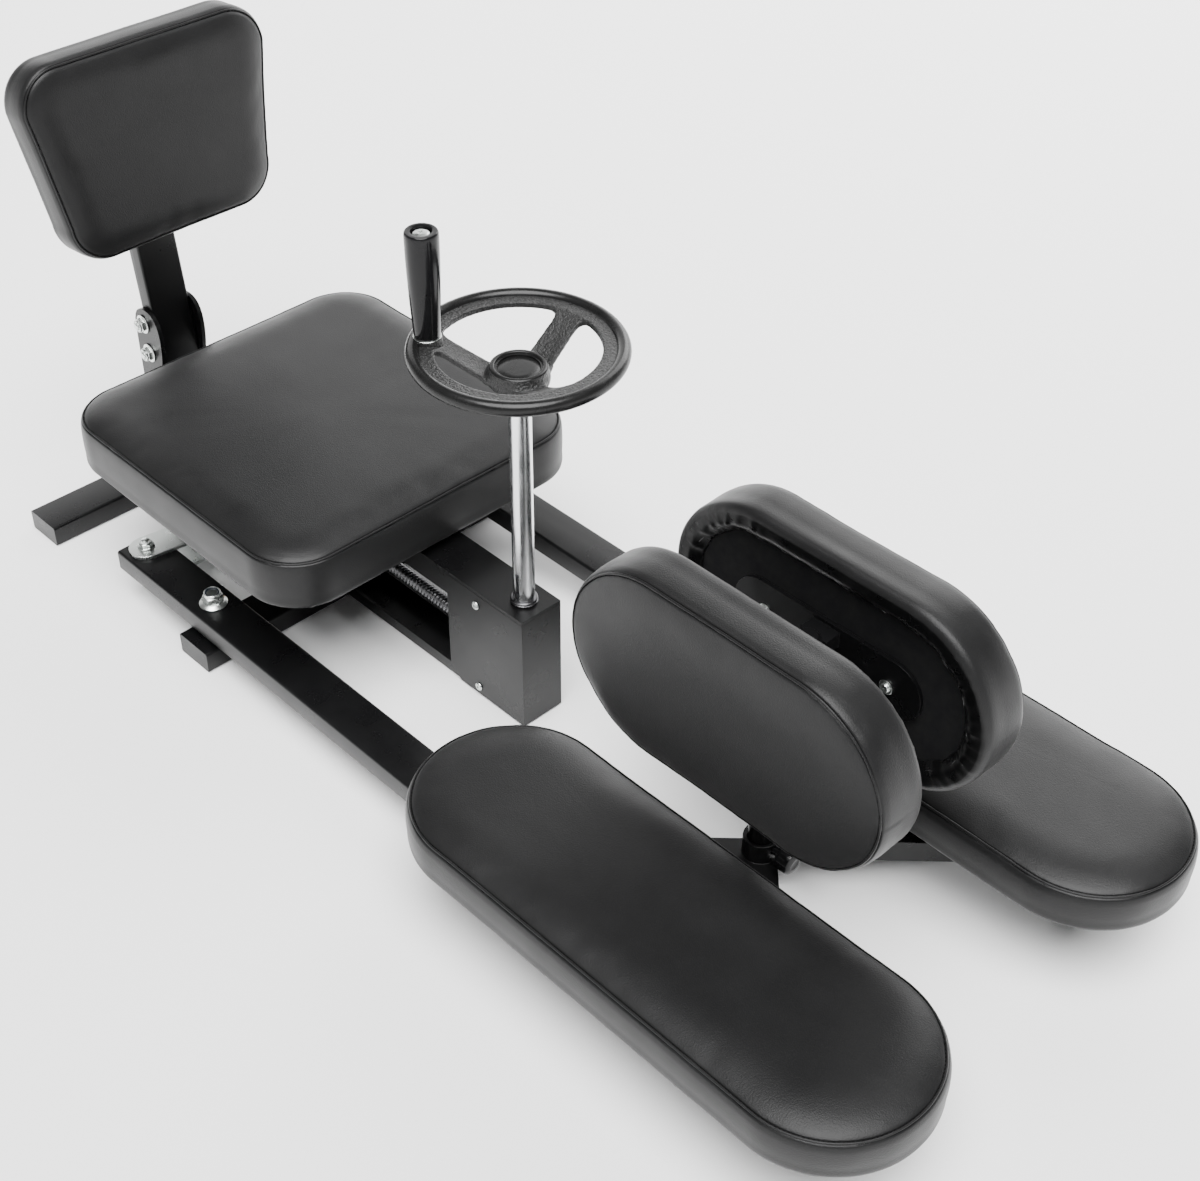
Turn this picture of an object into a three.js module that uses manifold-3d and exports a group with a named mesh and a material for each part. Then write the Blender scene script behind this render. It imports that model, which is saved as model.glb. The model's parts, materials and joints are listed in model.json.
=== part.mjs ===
// Leg stretching machine: a padded seat and backrest on a steel beam, and two padded arms that a
// handwheel opens through a pair of bevel gears, a lead screw, a nut carriage and two links.
// Lengths are millimetres and +Z is up. The machine faces -Y, so the user's right hand is at -X.
// "Ahead" is a distance forward of the rear foot's back face, which is -Y before the last shift.
import * as THREE from 'three';
import { mergeVertices } from 'three/addons/utils/BufferGeometryUtils.js';
import Module from 'manifold-3d';

const wasm = await Module();
wasm.setup();

// Fits shared by the whole machine
const gap = 0.3; // between pieces that touch or turn on each other
const overrun = 6; // how far a cutting tool runs past the material

// Feet
const footHalfLength = 211;
const rearFootWidth = 50;
const rearFootHeight = 25;
const pivotFootWidth = 50;
const pivotFootHeight = 25;
const pivotFootAhead = 323;
const pivotAhead = 319;

// Main beam, whose closed front end is the gearbox
const beamWidth = 48;
const beamHeight = 140.5;
const beamWall = 3;
const beamTopWidth = 51.7;
const beamTopThickness = 4;
const beamFrontAhead = 637;
const windowBottom = 15;
const windowRoof = 32.5; // beam left above the window
const windowTop = beamHeight - windowRoof;
const windowFrontAhead = 545;

// Arms and linkage
const armOffset = 176.3;
const armWidth = 50;
const armHeight = 25;
const armFrontAhead = 1205;
const armLift = 9; // from the pivot foot to the arm
const tubeWall = 2.5;
const crankRadius = 125;
const crankOverhang = 20; // arm behind the crank bolt
const linkThickness = 4.4;
const linkRadius = 19;
const linkPinRadius = 5;
const linkPinOffset = 29; // carriage pins from the middle of the beam
const linkLeanDegrees = 9;
const armBottom = pivotFootHeight + armLift;
const armTop = armBottom + armHeight;
const linkLean = THREE.MathUtils.degToRad(linkLeanDegrees);
const linkLength = (armOffset - linkPinOffset) / Math.cos(linkLean);
const crankAhead = pivotAhead - crankRadius;
const carriageAhead = crankAhead + linkLength * Math.sin(linkLean);

// Steering
const shaftAhead = 614.1;
const shaftRadius = 7;
const steeringTubeRadius = 11;
const screwHeight = 60;
const screwRadius = 8;
const screwJournalRadius = 6;
const wheelRadius = 101.7;
const rimHeight = 432;
const rimRadius = 7;
const hubDrop = 16; // hub's top below the middle of the rim
const hubHeight = 18;
const hubTop = rimHeight - hubDrop;
const hubBottom = hubTop - hubHeight;
const handleRadius = 82.8; // handle's distance from the wheel's axis
const handleTurnDegrees = 128; // handle's direction, anticlockwise from +X
const bushFlange = 5;

// Upholstery
const seatRearAhead = 97.2;
const seatFrontAhead = 495.4;
const seatHalfWidth = 198.3;
const seatCorner = 60.5;
const seatRailThickness = 7;
const seatRailLength = 40;
const seatRailRearAhead = 150;
const seatRailFrontAhead = 400;
const seatBottom = beamHeight + gap + seatRailThickness + gap;
const seatDepth = 53.4; // up to the seam
const sidePadLength = 352;
const sidePadHeight = 188;
const sidePadMiddleHeight = 267;
const sidePadMiddleAhead = 954;
const sidePadBack = 48.3;
const sidePadDepth = 42.7;
const legPadRearAhead = 698;
const legPadFrontAhead = 1259.8;
const legPadWidth = 190.3;
const riserHeight = 18.2;
const legPadBottom = armTop + gap + riserHeight + gap;
const legPadDepth = 40.5;
const boardThickness = 9.5;

// Backrest
const leanDegrees = 6.6;
const postWidth = 50;
const postDepth = 22;
const postLength = 315;
const postFootHeight = 125;
const postFootAhead = 16.8;
const backSeam = 68.5; // pad's front seam from the post's middle
const backThickness = 40.3;
const backLow = 200.4; // pad's lower edge along the post
const backHeight = 214.5;
const backLowHalfWidth = 126.5;
const backHighHalfWidth = 146.2;
const backCorner = 45;

// Side pad posts
const postOffset = 19.5;
const postRadius = 12.7;
const sleeveRadius = 17;
const postPlateThickness = 4;
const sleeveBelowArm = 8;
const sleeveAboveArm = 21;
const sleeveBottom = armBottom - sleeveBelowArm;
const sleeveTop = armTop + sleeveAboveArm;

// Solids

function solidOf(geometry) {
  const bare = geometry.clone();
  for (const name of ['normal', 'uv']) bare.deleteAttribute(name);
  const merged = mergeVertices(bare, 1e-4);
  return new wasm.Manifold(new wasm.Mesh({
    numProp: 3,
    vertProperties: new Float32Array(merged.attributes.position.array),
    triVerts: new Uint32Array(merged.index.array),
  }));
}

function geometryOf(solid) {
  const mesh = solid.getMesh();
  const geometry = new THREE.BufferGeometry();
  geometry.setAttribute('position', new THREE.BufferAttribute(new Float32Array(mesh.vertProperties), 3));
  geometry.setIndex(new THREE.BufferAttribute(new Uint32Array(mesh.triVerts), 1));
  const flat = geometry.toNonIndexed();
  flat.computeVertexNormals();
  return flat;
}

function join(...solids) {
  return solids.reduce((whole, piece) => whole.add(piece));
}

function cut(solid, ...tools) {
  return tools.reduce((rest, tool) => rest.subtract(tool), solid);
}

// A block between two x, two distances ahead and two heights
function block(x0, x1, ahead0, ahead1, z0, z1) {
  const geometry = new THREE.BoxGeometry(x1 - x0, ahead1 - ahead0, z1 - z0);
  geometry.translate((x0 + x1) / 2, -(ahead0 + ahead1) / 2, (z0 + z1) / 2);
  return solidOf(geometry);
}

// An upright cylinder
function drum(x, ahead, radius, z0, z1, sides = 18) {
  const geometry = new THREE.CylinderGeometry(radius, radius, z1 - z0, sides);
  geometry.rotateX(Math.PI / 2);
  geometry.translate(x, -ahead, (z0 + z1) / 2);
  return solidOf(geometry);
}

// A cylinder along Y, from one distance ahead to another
function rod(x, z, radius, ahead0, ahead1, sides = 18) {
  const geometry = new THREE.CylinderGeometry(radius, radius, ahead1 - ahead0, sides);
  geometry.translate(x, -(ahead0 + ahead1) / 2, z);
  return solidOf(geometry);
}

// A cylinder along X
function crossRod(x0, x1, ahead, z, radius, sides = 16) {
  const geometry = new THREE.CylinderGeometry(radius, radius, x1 - x0, sides);
  geometry.rotateZ(Math.PI / 2);
  geometry.translate((x0 + x1) / 2, -ahead, z);
  return solidOf(geometry);
}

// A turned piece about an upright axis, from [radius, height] pairs
function turned(x, ahead, profile, sides = 20) {
  const points = profile.map(([radius, height]) => new THREE.Vector2(radius, height));
  const geometry = new THREE.LatheGeometry(points, sides);
  geometry.rotateX(Math.PI / 2);
  geometry.translate(x, -ahead, 0);
  return solidOf(geometry);
}

function roundedRectangle(halfWidth, halfHeight, corner) {
  const shape = new THREE.Shape();
  const quarter = Math.PI / 2;
  shape.absarc(halfWidth - corner, halfHeight - corner, corner, 0, quarter);
  shape.absarc(corner - halfWidth, halfHeight - corner, corner, quarter, 2 * quarter);
  shape.absarc(corner - halfWidth, corner - halfHeight, corner, 2 * quarter, 3 * quarter);
  shape.absarc(halfWidth - corner, corner - halfHeight, corner, 3 * quarter, 4 * quarter);
  shape.closePath();
  return shape;
}

function extruded(shape, depth, curveSegments = 5) {
  return new THREE.ExtrudeGeometry(shape, { depth, bevelEnabled: false, curveSegments });
}

// A bar with rounded edges along X, standing on height z0
function crossBar(halfLength, width, height, corner, ahead, z0) {
  const geometry = extruded(roundedRectangle(width / 2, height / 2, corner), 2 * halfLength, 3);
  geometry.translate(0, 0, -halfLength);
  geometry.rotateX(Math.PI / 2);
  geometry.rotateZ(Math.PI / 2);
  geometry.translate(0, -ahead, z0 + height / 2);
  return solidOf(geometry);
}

// A plate between two x, from a shape drawn in distance ahead and height
function sidePlate(shape, x0, x1) {
  const geometry = extruded(shape, x1 - x0, 8);
  geometry.rotateX(Math.PI / 2);
  geometry.rotateZ(-Math.PI / 2);
  geometry.translate(x1, 0, 0);
  return solidOf(geometry);
}

// A bar with rounded edges along Y
function longBar(x, width, height, corner, ahead0, ahead1, z0) {
  const geometry = extruded(roundedRectangle(width / 2, height / 2, corner), ahead1 - ahead0, 3);
  geometry.rotateX(Math.PI / 2);
  geometry.translate(x, -ahead0, z0 + height / 2);
  return solidOf(geometry);
}

// Scene graph

const machine = new THREE.Group();
const finishes = {
  paint: { color: 0x1b1b1d, roughness: 0.42, metalness: 0.35 },
  vinyl: { color: 0x242426, roughness: 0.55, metalness: 0 },
  board: { color: 0x16161a, roughness: 0.9, metalness: 0 },
  zinc: { color: 0xb9bdc2, roughness: 0.32, metalness: 0.95 },
  chrome: { color: 0xdfe2e5, roughness: 0.12, metalness: 1 },
  casting: { color: 0x1e1e20, roughness: 0.5, metalness: 0.25 },
  plastic: { color: 0x101012, roughness: 0.25, metalness: 0 },
  bronze: { color: 0x8a6a3a, roughness: 0.4, metalness: 0.9 },
  steel: { color: 0x46484c, roughness: 0.4, metalness: 0.9 },
};

function add(name, solid, finish, frame = machine) {
  const mesh = new THREE.Mesh(geometryOf(solid), new THREE.MeshStandardMaterial(finishes[finish]));
  mesh.name = name;
  frame.add(mesh);
  return mesh;
}

const sides = [['right', -1], ['left', 1]];

// Feet: two closed steel tubes across the machine, on the floor

function rearFoot() {
  const corner = 3;
  const drainRadius = 3;
  const middle = rearFootWidth / 2;
  const outer = crossBar(footHalfLength, rearFootWidth, rearFootHeight, corner, middle, 0);
  const innerHeight = rearFootHeight - 2 * tubeWall;
  const inner = crossBar(footHalfLength - tubeWall, rearFootWidth - 2 * tubeWall, innerHeight,
    corner / 2, middle, tubeWall);
  const drain = rod(0, rearFootHeight / 2, drainRadius, -overrun, middle, 12);
  add('rear_foot', cut(outer, inner, drain), 'paint');
}

const pivotBoltRadius = 6;

function pivotFoot() {
  const corner = 3;
  const outer = crossBar(footHalfLength, pivotFootWidth, pivotFootHeight, corner, pivotFootAhead, 0);
  const innerHeight = pivotFootHeight - 2 * tubeWall;
  const inner = crossBar(footHalfLength - tubeWall, pivotFootWidth - 2 * tubeWall, innerHeight,
    corner / 2, pivotFootAhead, tubeWall);
  const holes = sides.map(([, side]) => drum(side * armOffset, pivotAhead, pivotBoltRadius + gap,
    tubeWall, pivotFootHeight + overrun, 18));
  add('pivot_foot', cut(outer, inner, ...holes), 'paint');
}

// Arm pivots: a bolt from the foot, a spacer under the arm and a flanged lock nut on it

function pivotBolt(name, side) {
  const x = side * armOffset;
  const spacerRadius = 15;
  const flangeRadius = 14.5;
  const flangeHeight = 2.6;
  const hexRadius = 11;
  const hexHeight = 9;
  const ringRadius = 9.5;
  const ringHeight = 4;
  const threadDepth = 2;
  const seat = armTop + gap;
  const top = seat + flangeHeight + hexHeight + ringHeight;
  const shank = drum(x, pivotAhead, pivotBoltRadius, tubeWall + gap, top - threadDepth, 18);
  const spacer = drum(x, pivotAhead, spacerRadius, pivotFootHeight + gap, armBottom - gap);
  const flange = turned(x, pivotAhead, [[0, seat], [flangeRadius, seat],
    [flangeRadius - flangeHeight / 2, seat + flangeHeight], [0, seat + flangeHeight]]);
  const hex = drum(x, pivotAhead, hexRadius, seat + flangeHeight / 2, seat + flangeHeight + hexHeight, 6);
  const ring = drum(x, pivotAhead, ringRadius, seat + flangeHeight, top);
  const well = drum(x, pivotAhead, pivotBoltRadius, top - threadDepth, top + overrun, 18);
  add(name, cut(join(shank, spacer, flange, hex, ring), well), 'zinc');
}

// Main beam: a tall rectangular tube with a long window in each side for the links, a closed
// front end that is the gearbox, and a notch over the pivot foot

const beamRearAhead = rearFootWidth + gap;
const windowRearAhead = carriageAhead - linkRadius - overrun;
const coverRearAhead = 525;
const coverThickness = 1.7;
const coverScrewAhead = 570;
const coverScrewLow = 12;
const coverScrewBelowTop = 18.7;
const coverScrewHeights = [coverScrewLow, beamHeight - coverScrewBelowTop];
const coverScrewRadius = 2.2;

function mainBeam() {
  const corner = 2;
  const accessInset = 14;
  const half = beamWidth / 2;
  const innerHalf = half - beamWall;
  const roof = beamHeight - beamTopThickness;
  const topHalf = beamTopWidth / 2;
  const outer = join(
    longBar(0, beamWidth, roof + corner, corner, beamRearAhead, beamFrontAhead, 0),
    block(-topHalf, topHalf, beamRearAhead, beamFrontAhead + gap + coverThickness, roof, beamHeight),
  );
  const inside = block(-innerHalf, innerHalf, beamRearAhead - overrun, beamFrontAhead - beamWall,
    beamWall, roof);
  const windows = block(-half - overrun, half + overrun, windowRearAhead, windowFrontAhead,
    windowBottom, windowTop);
  const notchHalf = pivotFootWidth / 2 + gap;
  const notch = block(-half - overrun, half + overrun, pivotFootAhead - notchHalf,
    pivotFootAhead + notchHalf, -overrun, pivotFootHeight + gap);
  const access = block(-half - overrun, 0, windowFrontAhead + accessInset, beamFrontAhead - accessInset,
    windowBottom + accessInset, windowTop);
  const shaftHole = drum(0, shaftAhead, shaftRadius + 2 * beamWall + gap, beamHeight - 2 * beamWall,
    beamHeight + overrun);
  const screwHoles = coverScrewHeights.map((height) => crossRod(-half - overrun, -innerHalf + overrun / 2,
    coverScrewAhead, height, coverScrewRadius + gap, 12));
  add('main_beam', cut(outer, inside, windows, notch, access, shaftHole, ...screwHoles), 'paint');
}

// Gearbox cover: one sheet folded round the beam's front end, with the lower rear corners cut off

function gearboxCover() {
  const chamferAhead = 16;
  const chamferHeight = 14;
  const bottom = 2;
  const top = beamHeight - beamTopThickness - gap;
  const front = beamFrontAhead + gap + coverThickness;
  const inner = beamWidth / 2 + gap;
  const shape = new THREE.Shape();
  shape.moveTo(coverRearAhead, chamferHeight);
  shape.lineTo(coverRearAhead + chamferAhead, bottom);
  shape.lineTo(front, bottom);
  shape.lineTo(front, top);
  shape.lineTo(coverRearAhead, top);
  shape.closePath();
  const whole = sidePlate(shape, -inner - coverThickness, inner + coverThickness);
  const inside = block(-inner, inner, coverRearAhead - overrun, beamFrontAhead + gap, -overrun, top + overrun);
  const holes = coverScrewHeights.map((height) => crossRod(-2 * inner, 0, coverScrewAhead, height,
    coverScrewRadius + gap, 12));
  add('gearbox_cover', cut(whole, inside, ...holes), 'paint');
}

function coverScrews() {
  const headRadius = 4.6;
  const headHeight = 2.2;
  const socketRadius = 1.6;
  const face = beamWidth / 2 + gap + coverThickness + gap;
  coverScrewHeights.forEach((height, index) => {
    const head = crossRod(-face - headHeight, -face, coverScrewAhead, height, headRadius, 16);
    const shank = crossRod(-face - headHeight / 2, -beamWidth / 2 + beamWall + gap, coverScrewAhead, height,
      coverScrewRadius, 12);
    const socket = crossRod(-face - headHeight - overrun, -face - headHeight / 2, coverScrewAhead, height,
      socketRadius, 6);
    add(['cover_screw_lower', 'cover_screw_upper'][index], cut(join(head, shank), socket), 'zinc');
  });
}

// Bearings of the steering shaft and the lead screw

const bearingLength = 12;
const screwRearAhead = windowRearAhead - 2 * bearingLength;
const frontBearingAhead = windowFrontAhead + 8;

function bearings() {
  const flangeRadius = 14;
  const bushBottom = beamHeight - 3 * beamWall;
  const bush = join(
    drum(0, shaftAhead, flangeRadius, beamHeight + gap, beamHeight + gap + bushFlange),
    drum(0, shaftAhead, shaftRadius + 2 * beamWall, bushBottom, beamHeight + bushFlange),
  );
  const bore = drum(0, shaftAhead, shaftRadius + gap, bushBottom - overrun, beamHeight + 2 * bushFlange);
  add('shaft_bush', cut(bush, bore), 'steel');
  const half = beamWidth / 2 - beamWall - gap;
  const housingHalfHeight = 18;
  const places = { screw_bearing_rear: screwRearAhead, screw_bearing_front: frontBearingAhead };
  for (const [name, ahead] of Object.entries(places)) {
    const housing = block(-half, half, ahead, ahead + bearingLength, screwHeight - housingHalfHeight,
      screwHeight + housingHalfHeight);
    const journal = rod(0, screwHeight, screwJournalRadius + gap, ahead - overrun,
      ahead + bearingLength + overrun);
    add(name, cut(housing, journal), 'steel');
  }
}

// Bevel gears: straight teeth drawn to the point where the two axes cross, with that point at the
// origin and the gear's axis along +Z

const gearTeeth = 18;
const gearModule = 2;
const gearRadius = gearTeeth * gearModule / 2;
const gearFace = 8;

function bevelGear(turnShare, boreRadius) {
  const addendumShare = 0.8;
  const dedendumShare = 1.25;
  const rootHalfDegrees = 8.2;
  const tipHalfDegrees = 2.2;
  const tip = gearRadius + addendumShare * gearModule;
  const root = gearRadius - dedendumShare * gearModule;
  const shape = new THREE.Shape();
  for (let tooth = 0; tooth < gearTeeth; tooth += 1) {
    const middle = 2 * Math.PI * (tooth + turnShare) / gearTeeth;
    const corners = [[-rootHalfDegrees, root], [-tipHalfDegrees, tip], [tipHalfDegrees, tip],
      [rootHalfDegrees, root]];
    for (const [degrees, radius] of corners) {
      const angle = middle + THREE.MathUtils.degToRad(degrees);
      const point = [radius * Math.cos(angle), radius * Math.sin(angle)];
      if (shape.curves.length === 0 && shape.currentPoint.length() === 0) shape.moveTo(...point);
      else shape.lineTo(...point);
    }
  }
  shape.closePath();
  const geometry = extruded(shape, gearFace);
  geometry.translate(0, 0, gearRadius - gearFace);
  const position = geometry.attributes.position;
  for (let index = 0; index < position.count; index += 1) {
    const share = position.getZ(index) / gearRadius;
    position.setXY(index, position.getX(index) * share, position.getY(index) * share);
  }
  const hubLength = 6;
  const hubRadius = 12;
  const hub = drum(0, 0, hubRadius, gearRadius - hubLength / 2, gearRadius + hubLength);
  const wheel = join(solidOf(geometry), hub);
  if (boreRadius === 0) return wheel;
  return cut(wheel, drum(0, 0, boreRadius, 0, gearRadius + 2 * hubLength));
}

const gearHub = 6;

function steeringShaftAndGear() {
  const inTube = 40;
  const bottom = screwHeight + gearRadius - gearFace;
  const teeth = bevelGear(0.25 * gearTeeth, 0).translate([0, -shaftAhead, screwHeight]);
  const shaft = drum(0, shaftAhead, shaftRadius, bottom + gearFace / 2, beamHeight + bushFlange + inTube);
  add('input_bevel_gear', join(teeth, shaft), 'steel');
}

function leadScrewAndGear() {
  const gearBack = shaftAhead - gearRadius - gearHub;
  const gearEdge = shaftAhead - gearRadius + gearFace;
  const quarter = 90;
  const teeth = bevelGear(0.25 * gearTeeth + 0.5, screwJournalRadius + gap)
    .rotate([-quarter, 0, 0]).translate([0, -shaftAhead, screwHeight]);
  add('output_bevel_gear', teeth, 'steel');
  const collarRadius = 9;
  const collar = 3;
  const frontShoulder = frontBearingAhead - gap;
  const rearShoulder = screwRearAhead + bearingLength + gap;
  const screw = join(
    rod(0, screwHeight, screwJournalRadius, screwRearAhead, gearEdge - gap),
    rod(0, screwHeight, screwRadius, rearShoulder, frontShoulder),
    rod(0, screwHeight, collarRadius, gearBack - gap - collar, gearBack - gap),
  );
  add('lead_screw', screw, 'steel');
}

// Nut carriage: a yoke under the screw with an ear on each side between the link plates, and a nut
// block that stands up round the screw ahead of the links' round ends

function nutCarriage() {
  const nutHalf = 16;
  const nutRise = 16;
  const nutLength = 24;
  const earHalf = linkPinOffset + linkRadius - 1;
  const earHalfLength = 13;
  const nutRear = carriageAhead + linkRadius + 1;
  const nutFront = nutRear + nutLength;
  const carriage = join(
    block(-nutHalf, nutHalf, nutRear, nutFront, armBottom, screwHeight + nutRise),
    block(-nutHalf, nutHalf, carriageAhead - earHalfLength, nutFront - 1, armBottom, armTop),
    block(-earHalf, earHalf, carriageAhead - earHalfLength, carriageAhead + earHalfLength, armBottom, armTop),
  );
  const bore = rod(0, screwHeight, screwRadius + gap, carriageAhead - earHalfLength - overrun,
    nutFront + overrun);
  const holes = sides.map(([, side]) => drum(side * linkPinOffset, carriageAhead, linkPinRadius + gap,
    armBottom - overrun, armTop + overrun, 16));
  add('nut_carriage', cut(carriage, bore, ...holes), 'bronze');
  const headRadius = 8;
  const headHeight = 4;
  for (const [name, side] of sides) {
    const x = side * linkPinOffset;
    const top = armTop + gap + linkThickness + gap;
    const pin = join(
      drum(x, carriageAhead, linkPinRadius, armBottom - gap - linkThickness, top + headHeight / 2, 16),
      drum(x, carriageAhead, headRadius, top, top + headHeight, 16),
    );
    add(`carriage_pin_${name}`, pin, 'zinc');
  }
}

// Links: a flat zinc-plated bar above the arm's rear end and one below it

function linkPlates(name, side) {
  const pinHole = linkPinRadius + gap;
  const headRadius = 8;
  const headHeight = 3;
  const headTopRadius = 6.5;
  const shape = new THREE.Shape();
  const half = Math.PI / 2;
  shape.absarc(0, 0, linkRadius, half, 3 * half);
  shape.absarc(linkLength, 0, linkRadius, -half, half);
  shape.closePath();
  const place = (z) => {
    const geometry = extruded(shape, linkThickness, 9);
    geometry.rotateZ(side < 0 ? -linkLean : Math.PI + linkLean);
    geometry.translate(side * armOffset, -crankAhead, z);
    return solidOf(geometry);
  };
  const bolt = drum(side * armOffset, crankAhead, pinHole, 0, armTop * 2, 16);
  const pin = drum(side * linkPinOffset, carriageAhead, pinHole, 0, armTop * 2, 16);
  add(`link_upper_${name}`, cut(place(armTop + gap), bolt, pin), 'zinc');
  const low = armBottom - gap - linkThickness;
  const head = turned(side * armOffset, crankAhead, [[0, low - headHeight], [headTopRadius, low - headHeight],
    [headRadius, low - headHeight / 2], [headRadius, low + linkThickness / 2], [0, low + linkThickness / 2]], 18);
  add(`link_lower_${name}`, cut(join(place(low), head), pin), 'zinc');
}

function linkBolt(name, side) {
  const x = side * armOffset;
  const boltRadius = linkPinRadius;
  const washerRadius = 9.5;
  const washerHeight = 1.6;
  const hexRadius = 8;
  const hexHeight = 5;
  const domeRadius = 5;
  const domeHeight = 3;
  const seat = armTop + gap + linkThickness + gap;
  const top = seat + washerHeight + hexHeight;
  const bolt = join(
    drum(x, crankAhead, boltRadius, armTop + gap, top, 16),
    drum(x, crankAhead, washerRadius, seat, seat + washerHeight),
    drum(x, crankAhead, hexRadius, seat + washerHeight / 2, top, 6),
    turned(x, crankAhead, [[0, top - washerHeight], [domeRadius, top - washerHeight], [domeRadius, top],
      [domeRadius / 2, top + domeHeight], [0, top + domeHeight]], 18),
  );
  add(`link_bolt_${name}`, bolt, 'zinc');
}

// Handwheel: a dished casting with a round rim, an inner flange, three flat spokes, a recessed hub
// and a boss for the handle

const handleTurn = THREE.MathUtils.degToRad(handleTurnDegrees);
const handleX = handleRadius * Math.cos(handleTurn);
const handleAhead = shaftAhead - handleRadius * Math.sin(handleTurn);
const handleBossTop = rimHeight + rimRadius;

// The wheel's web: a dished disc with three openings that have round corners
function wheelWeb(inner, outer, reach, rimSides) {
  const spokeCount = 3;
  const thickness = 6;
  const hubAboveWeb = 10;
  const halfAtHub = 14;
  const halfAtRim = 12.5;
  const outerRound = 11;
  const innerRound = 4;
  const arcSteps = 6;
  const polar = (radius, angle) => [radius * Math.cos(angle), radius * Math.sin(angle)];
  const half = (radius) => THREE.MathUtils.lerp(halfAtHub, halfAtRim, (radius - inner) / (outer - inner));
  const edgeAngle = (spoke, sign, radius) => spoke + sign * Math.asin(half(radius) / radius);
  const edge = (spoke, sign, radius) => polar(radius, edgeAngle(spoke, sign, radius));
  const shape = new THREE.Shape();
  for (let step = 0; step < rimSides; step += 1) {
    const point = polar(reach, 2 * Math.PI * step / rimSides);
    if (step === 0) shape.moveTo(...point);
    else shape.lineTo(...point);
  }
  shape.closePath();
  for (let index = 0; index < spokeCount; index += 1) {
    const spoke = handleTurn + 2 * Math.PI * index / spokeCount;
    const next = spoke + 2 * Math.PI / spokeCount;
    const hole = new THREE.Path();
    hole.moveTo(...edge(spoke, 1, inner + innerRound));
    hole.lineTo(...edge(spoke, 1, outer - outerRound));
    const outerStart = edgeAngle(spoke, 1, outer) + outerRound / outer;
    const outerEnd = edgeAngle(next, -1, outer) - outerRound / outer;
    hole.quadraticCurveTo(...edge(spoke, 1, outer), ...polar(outer, outerStart));
    for (let step = 1; step <= arcSteps; step += 1) {
      hole.lineTo(...polar(outer, THREE.MathUtils.lerp(outerStart, outerEnd, step / arcSteps)));
    }
    hole.quadraticCurveTo(...edge(next, -1, outer), ...edge(next, -1, outer - outerRound));
    hole.lineTo(...edge(next, -1, inner + innerRound));
    const innerStart = edgeAngle(next, -1, inner) - innerRound / inner;
    const innerEnd = edgeAngle(spoke, 1, inner) + innerRound / inner;
    hole.quadraticCurveTo(...edge(next, -1, inner), ...polar(inner, innerStart));
    hole.lineTo(...polar(inner, (innerStart + innerEnd) / 2));
    hole.lineTo(...polar(inner, innerEnd));
    hole.quadraticCurveTo(...edge(spoke, 1, inner), ...edge(spoke, 1, inner + innerRound));
    shape.holes.push(hole);
  }
  const geometry = extruded(shape, thickness, 3);
  const position = geometry.attributes.position;
  const low = hubTop - hubAboveWeb - thickness;
  const rise = rimHeight - thickness / 2 - low;
  for (let point = 0; point < position.count; point += 1) {
    const radius = Math.hypot(position.getX(point), position.getY(point));
    const share = THREE.MathUtils.clamp((radius - inner) / (outer - inner), 0, 1);
    position.setZ(point, position.getZ(point) + low + rise * share);
  }
  geometry.translate(0, -shaftAhead, 0);
  return solidOf(geometry);
}

function handwheel() {
  const rimMiddle = wheelRadius - rimRadius;
  const hubRadius = 27;
  const recessRadius = 22;
  const recessDepth = 4;
  const openingInner = 29;
  const openingOuter = 76;
  const webReach = rimMiddle;
  const rimSides = 36;
  const bossRadius = 13;
  const screwHole = 4 + gap;
  const steps = 10;
  const profile = [];
  for (let step = 0; step <= steps; step += 1) {
    const angle = 2 * Math.PI * step / steps;
    profile.push([rimMiddle + rimRadius * Math.cos(angle), rimHeight + rimRadius * Math.sin(angle)]);
  }
  const rim = turned(0, shaftAhead, profile, rimSides);
  const hub = turned(0, shaftAhead, [[0, hubBottom], [hubRadius, hubBottom], [hubRadius, hubTop - 1],
    [hubRadius - 1, hubTop], [0, hubTop]], 24);
  const boss = drum(handleX, handleAhead, bossRadius, rimHeight - rimRadius / 2, handleBossTop);
  const recess = drum(0, shaftAhead, recessRadius, hubTop - recessDepth, hubTop + overrun, 24);
  const bore = drum(0, shaftAhead, steeringTubeRadius + gap, hubBottom - overrun, hubTop - recessDepth - gap);
  const tapped = drum(handleX, handleAhead, screwHole, rimHeight - 2 * rimRadius, handleBossTop + overrun, 16);
  const web = wheelWeb(openingInner, openingOuter, webReach, rimSides);
  add('handwheel', cut(join(rim, hub, web, boss), recess, bore, tapped), 'casting');
}

// Steering tube: chrome-plated, slotted at its foot, with a turned collar under the hub

const tubeBottom = beamHeight + gap + bushFlange + gap;

function steeringTube() {
  const slotHalf = 2;
  const slotHeight = 34;
  const boreDepth = 42;
  const top = hubTop - 6;
  const tube = drum(0, shaftAhead, steeringTubeRadius, tubeBottom, top, 24);
  const bore = drum(0, shaftAhead, shaftRadius + gap, tubeBottom - overrun, tubeBottom + boreDepth);
  const slot = block(-steeringTubeRadius - overrun, 0, shaftAhead - slotHalf, shaftAhead + slotHalf,
    tubeBottom - overrun, tubeBottom + slotHeight);
  add('steering_tube', cut(tube, bore, slot), 'chrome');
  const collarRadius = 16;
  const collarStraight = 4;
  const collarHeight = 13;
  const inner = steeringTubeRadius + gap;
  const collarTop = hubBottom - gap;
  const collar = turned(0, shaftAhead, [[inner, collarTop - collarHeight],
    [inner + 1, collarTop - collarHeight], [collarRadius, collarTop - collarStraight],
    [collarRadius, collarTop], [inner, collarTop], [inner, collarTop - collarHeight]]);
  add('wheel_collar', collar, 'chrome');
}

// Handle: a barrel grip that turns on a long shouldered screw

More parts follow.
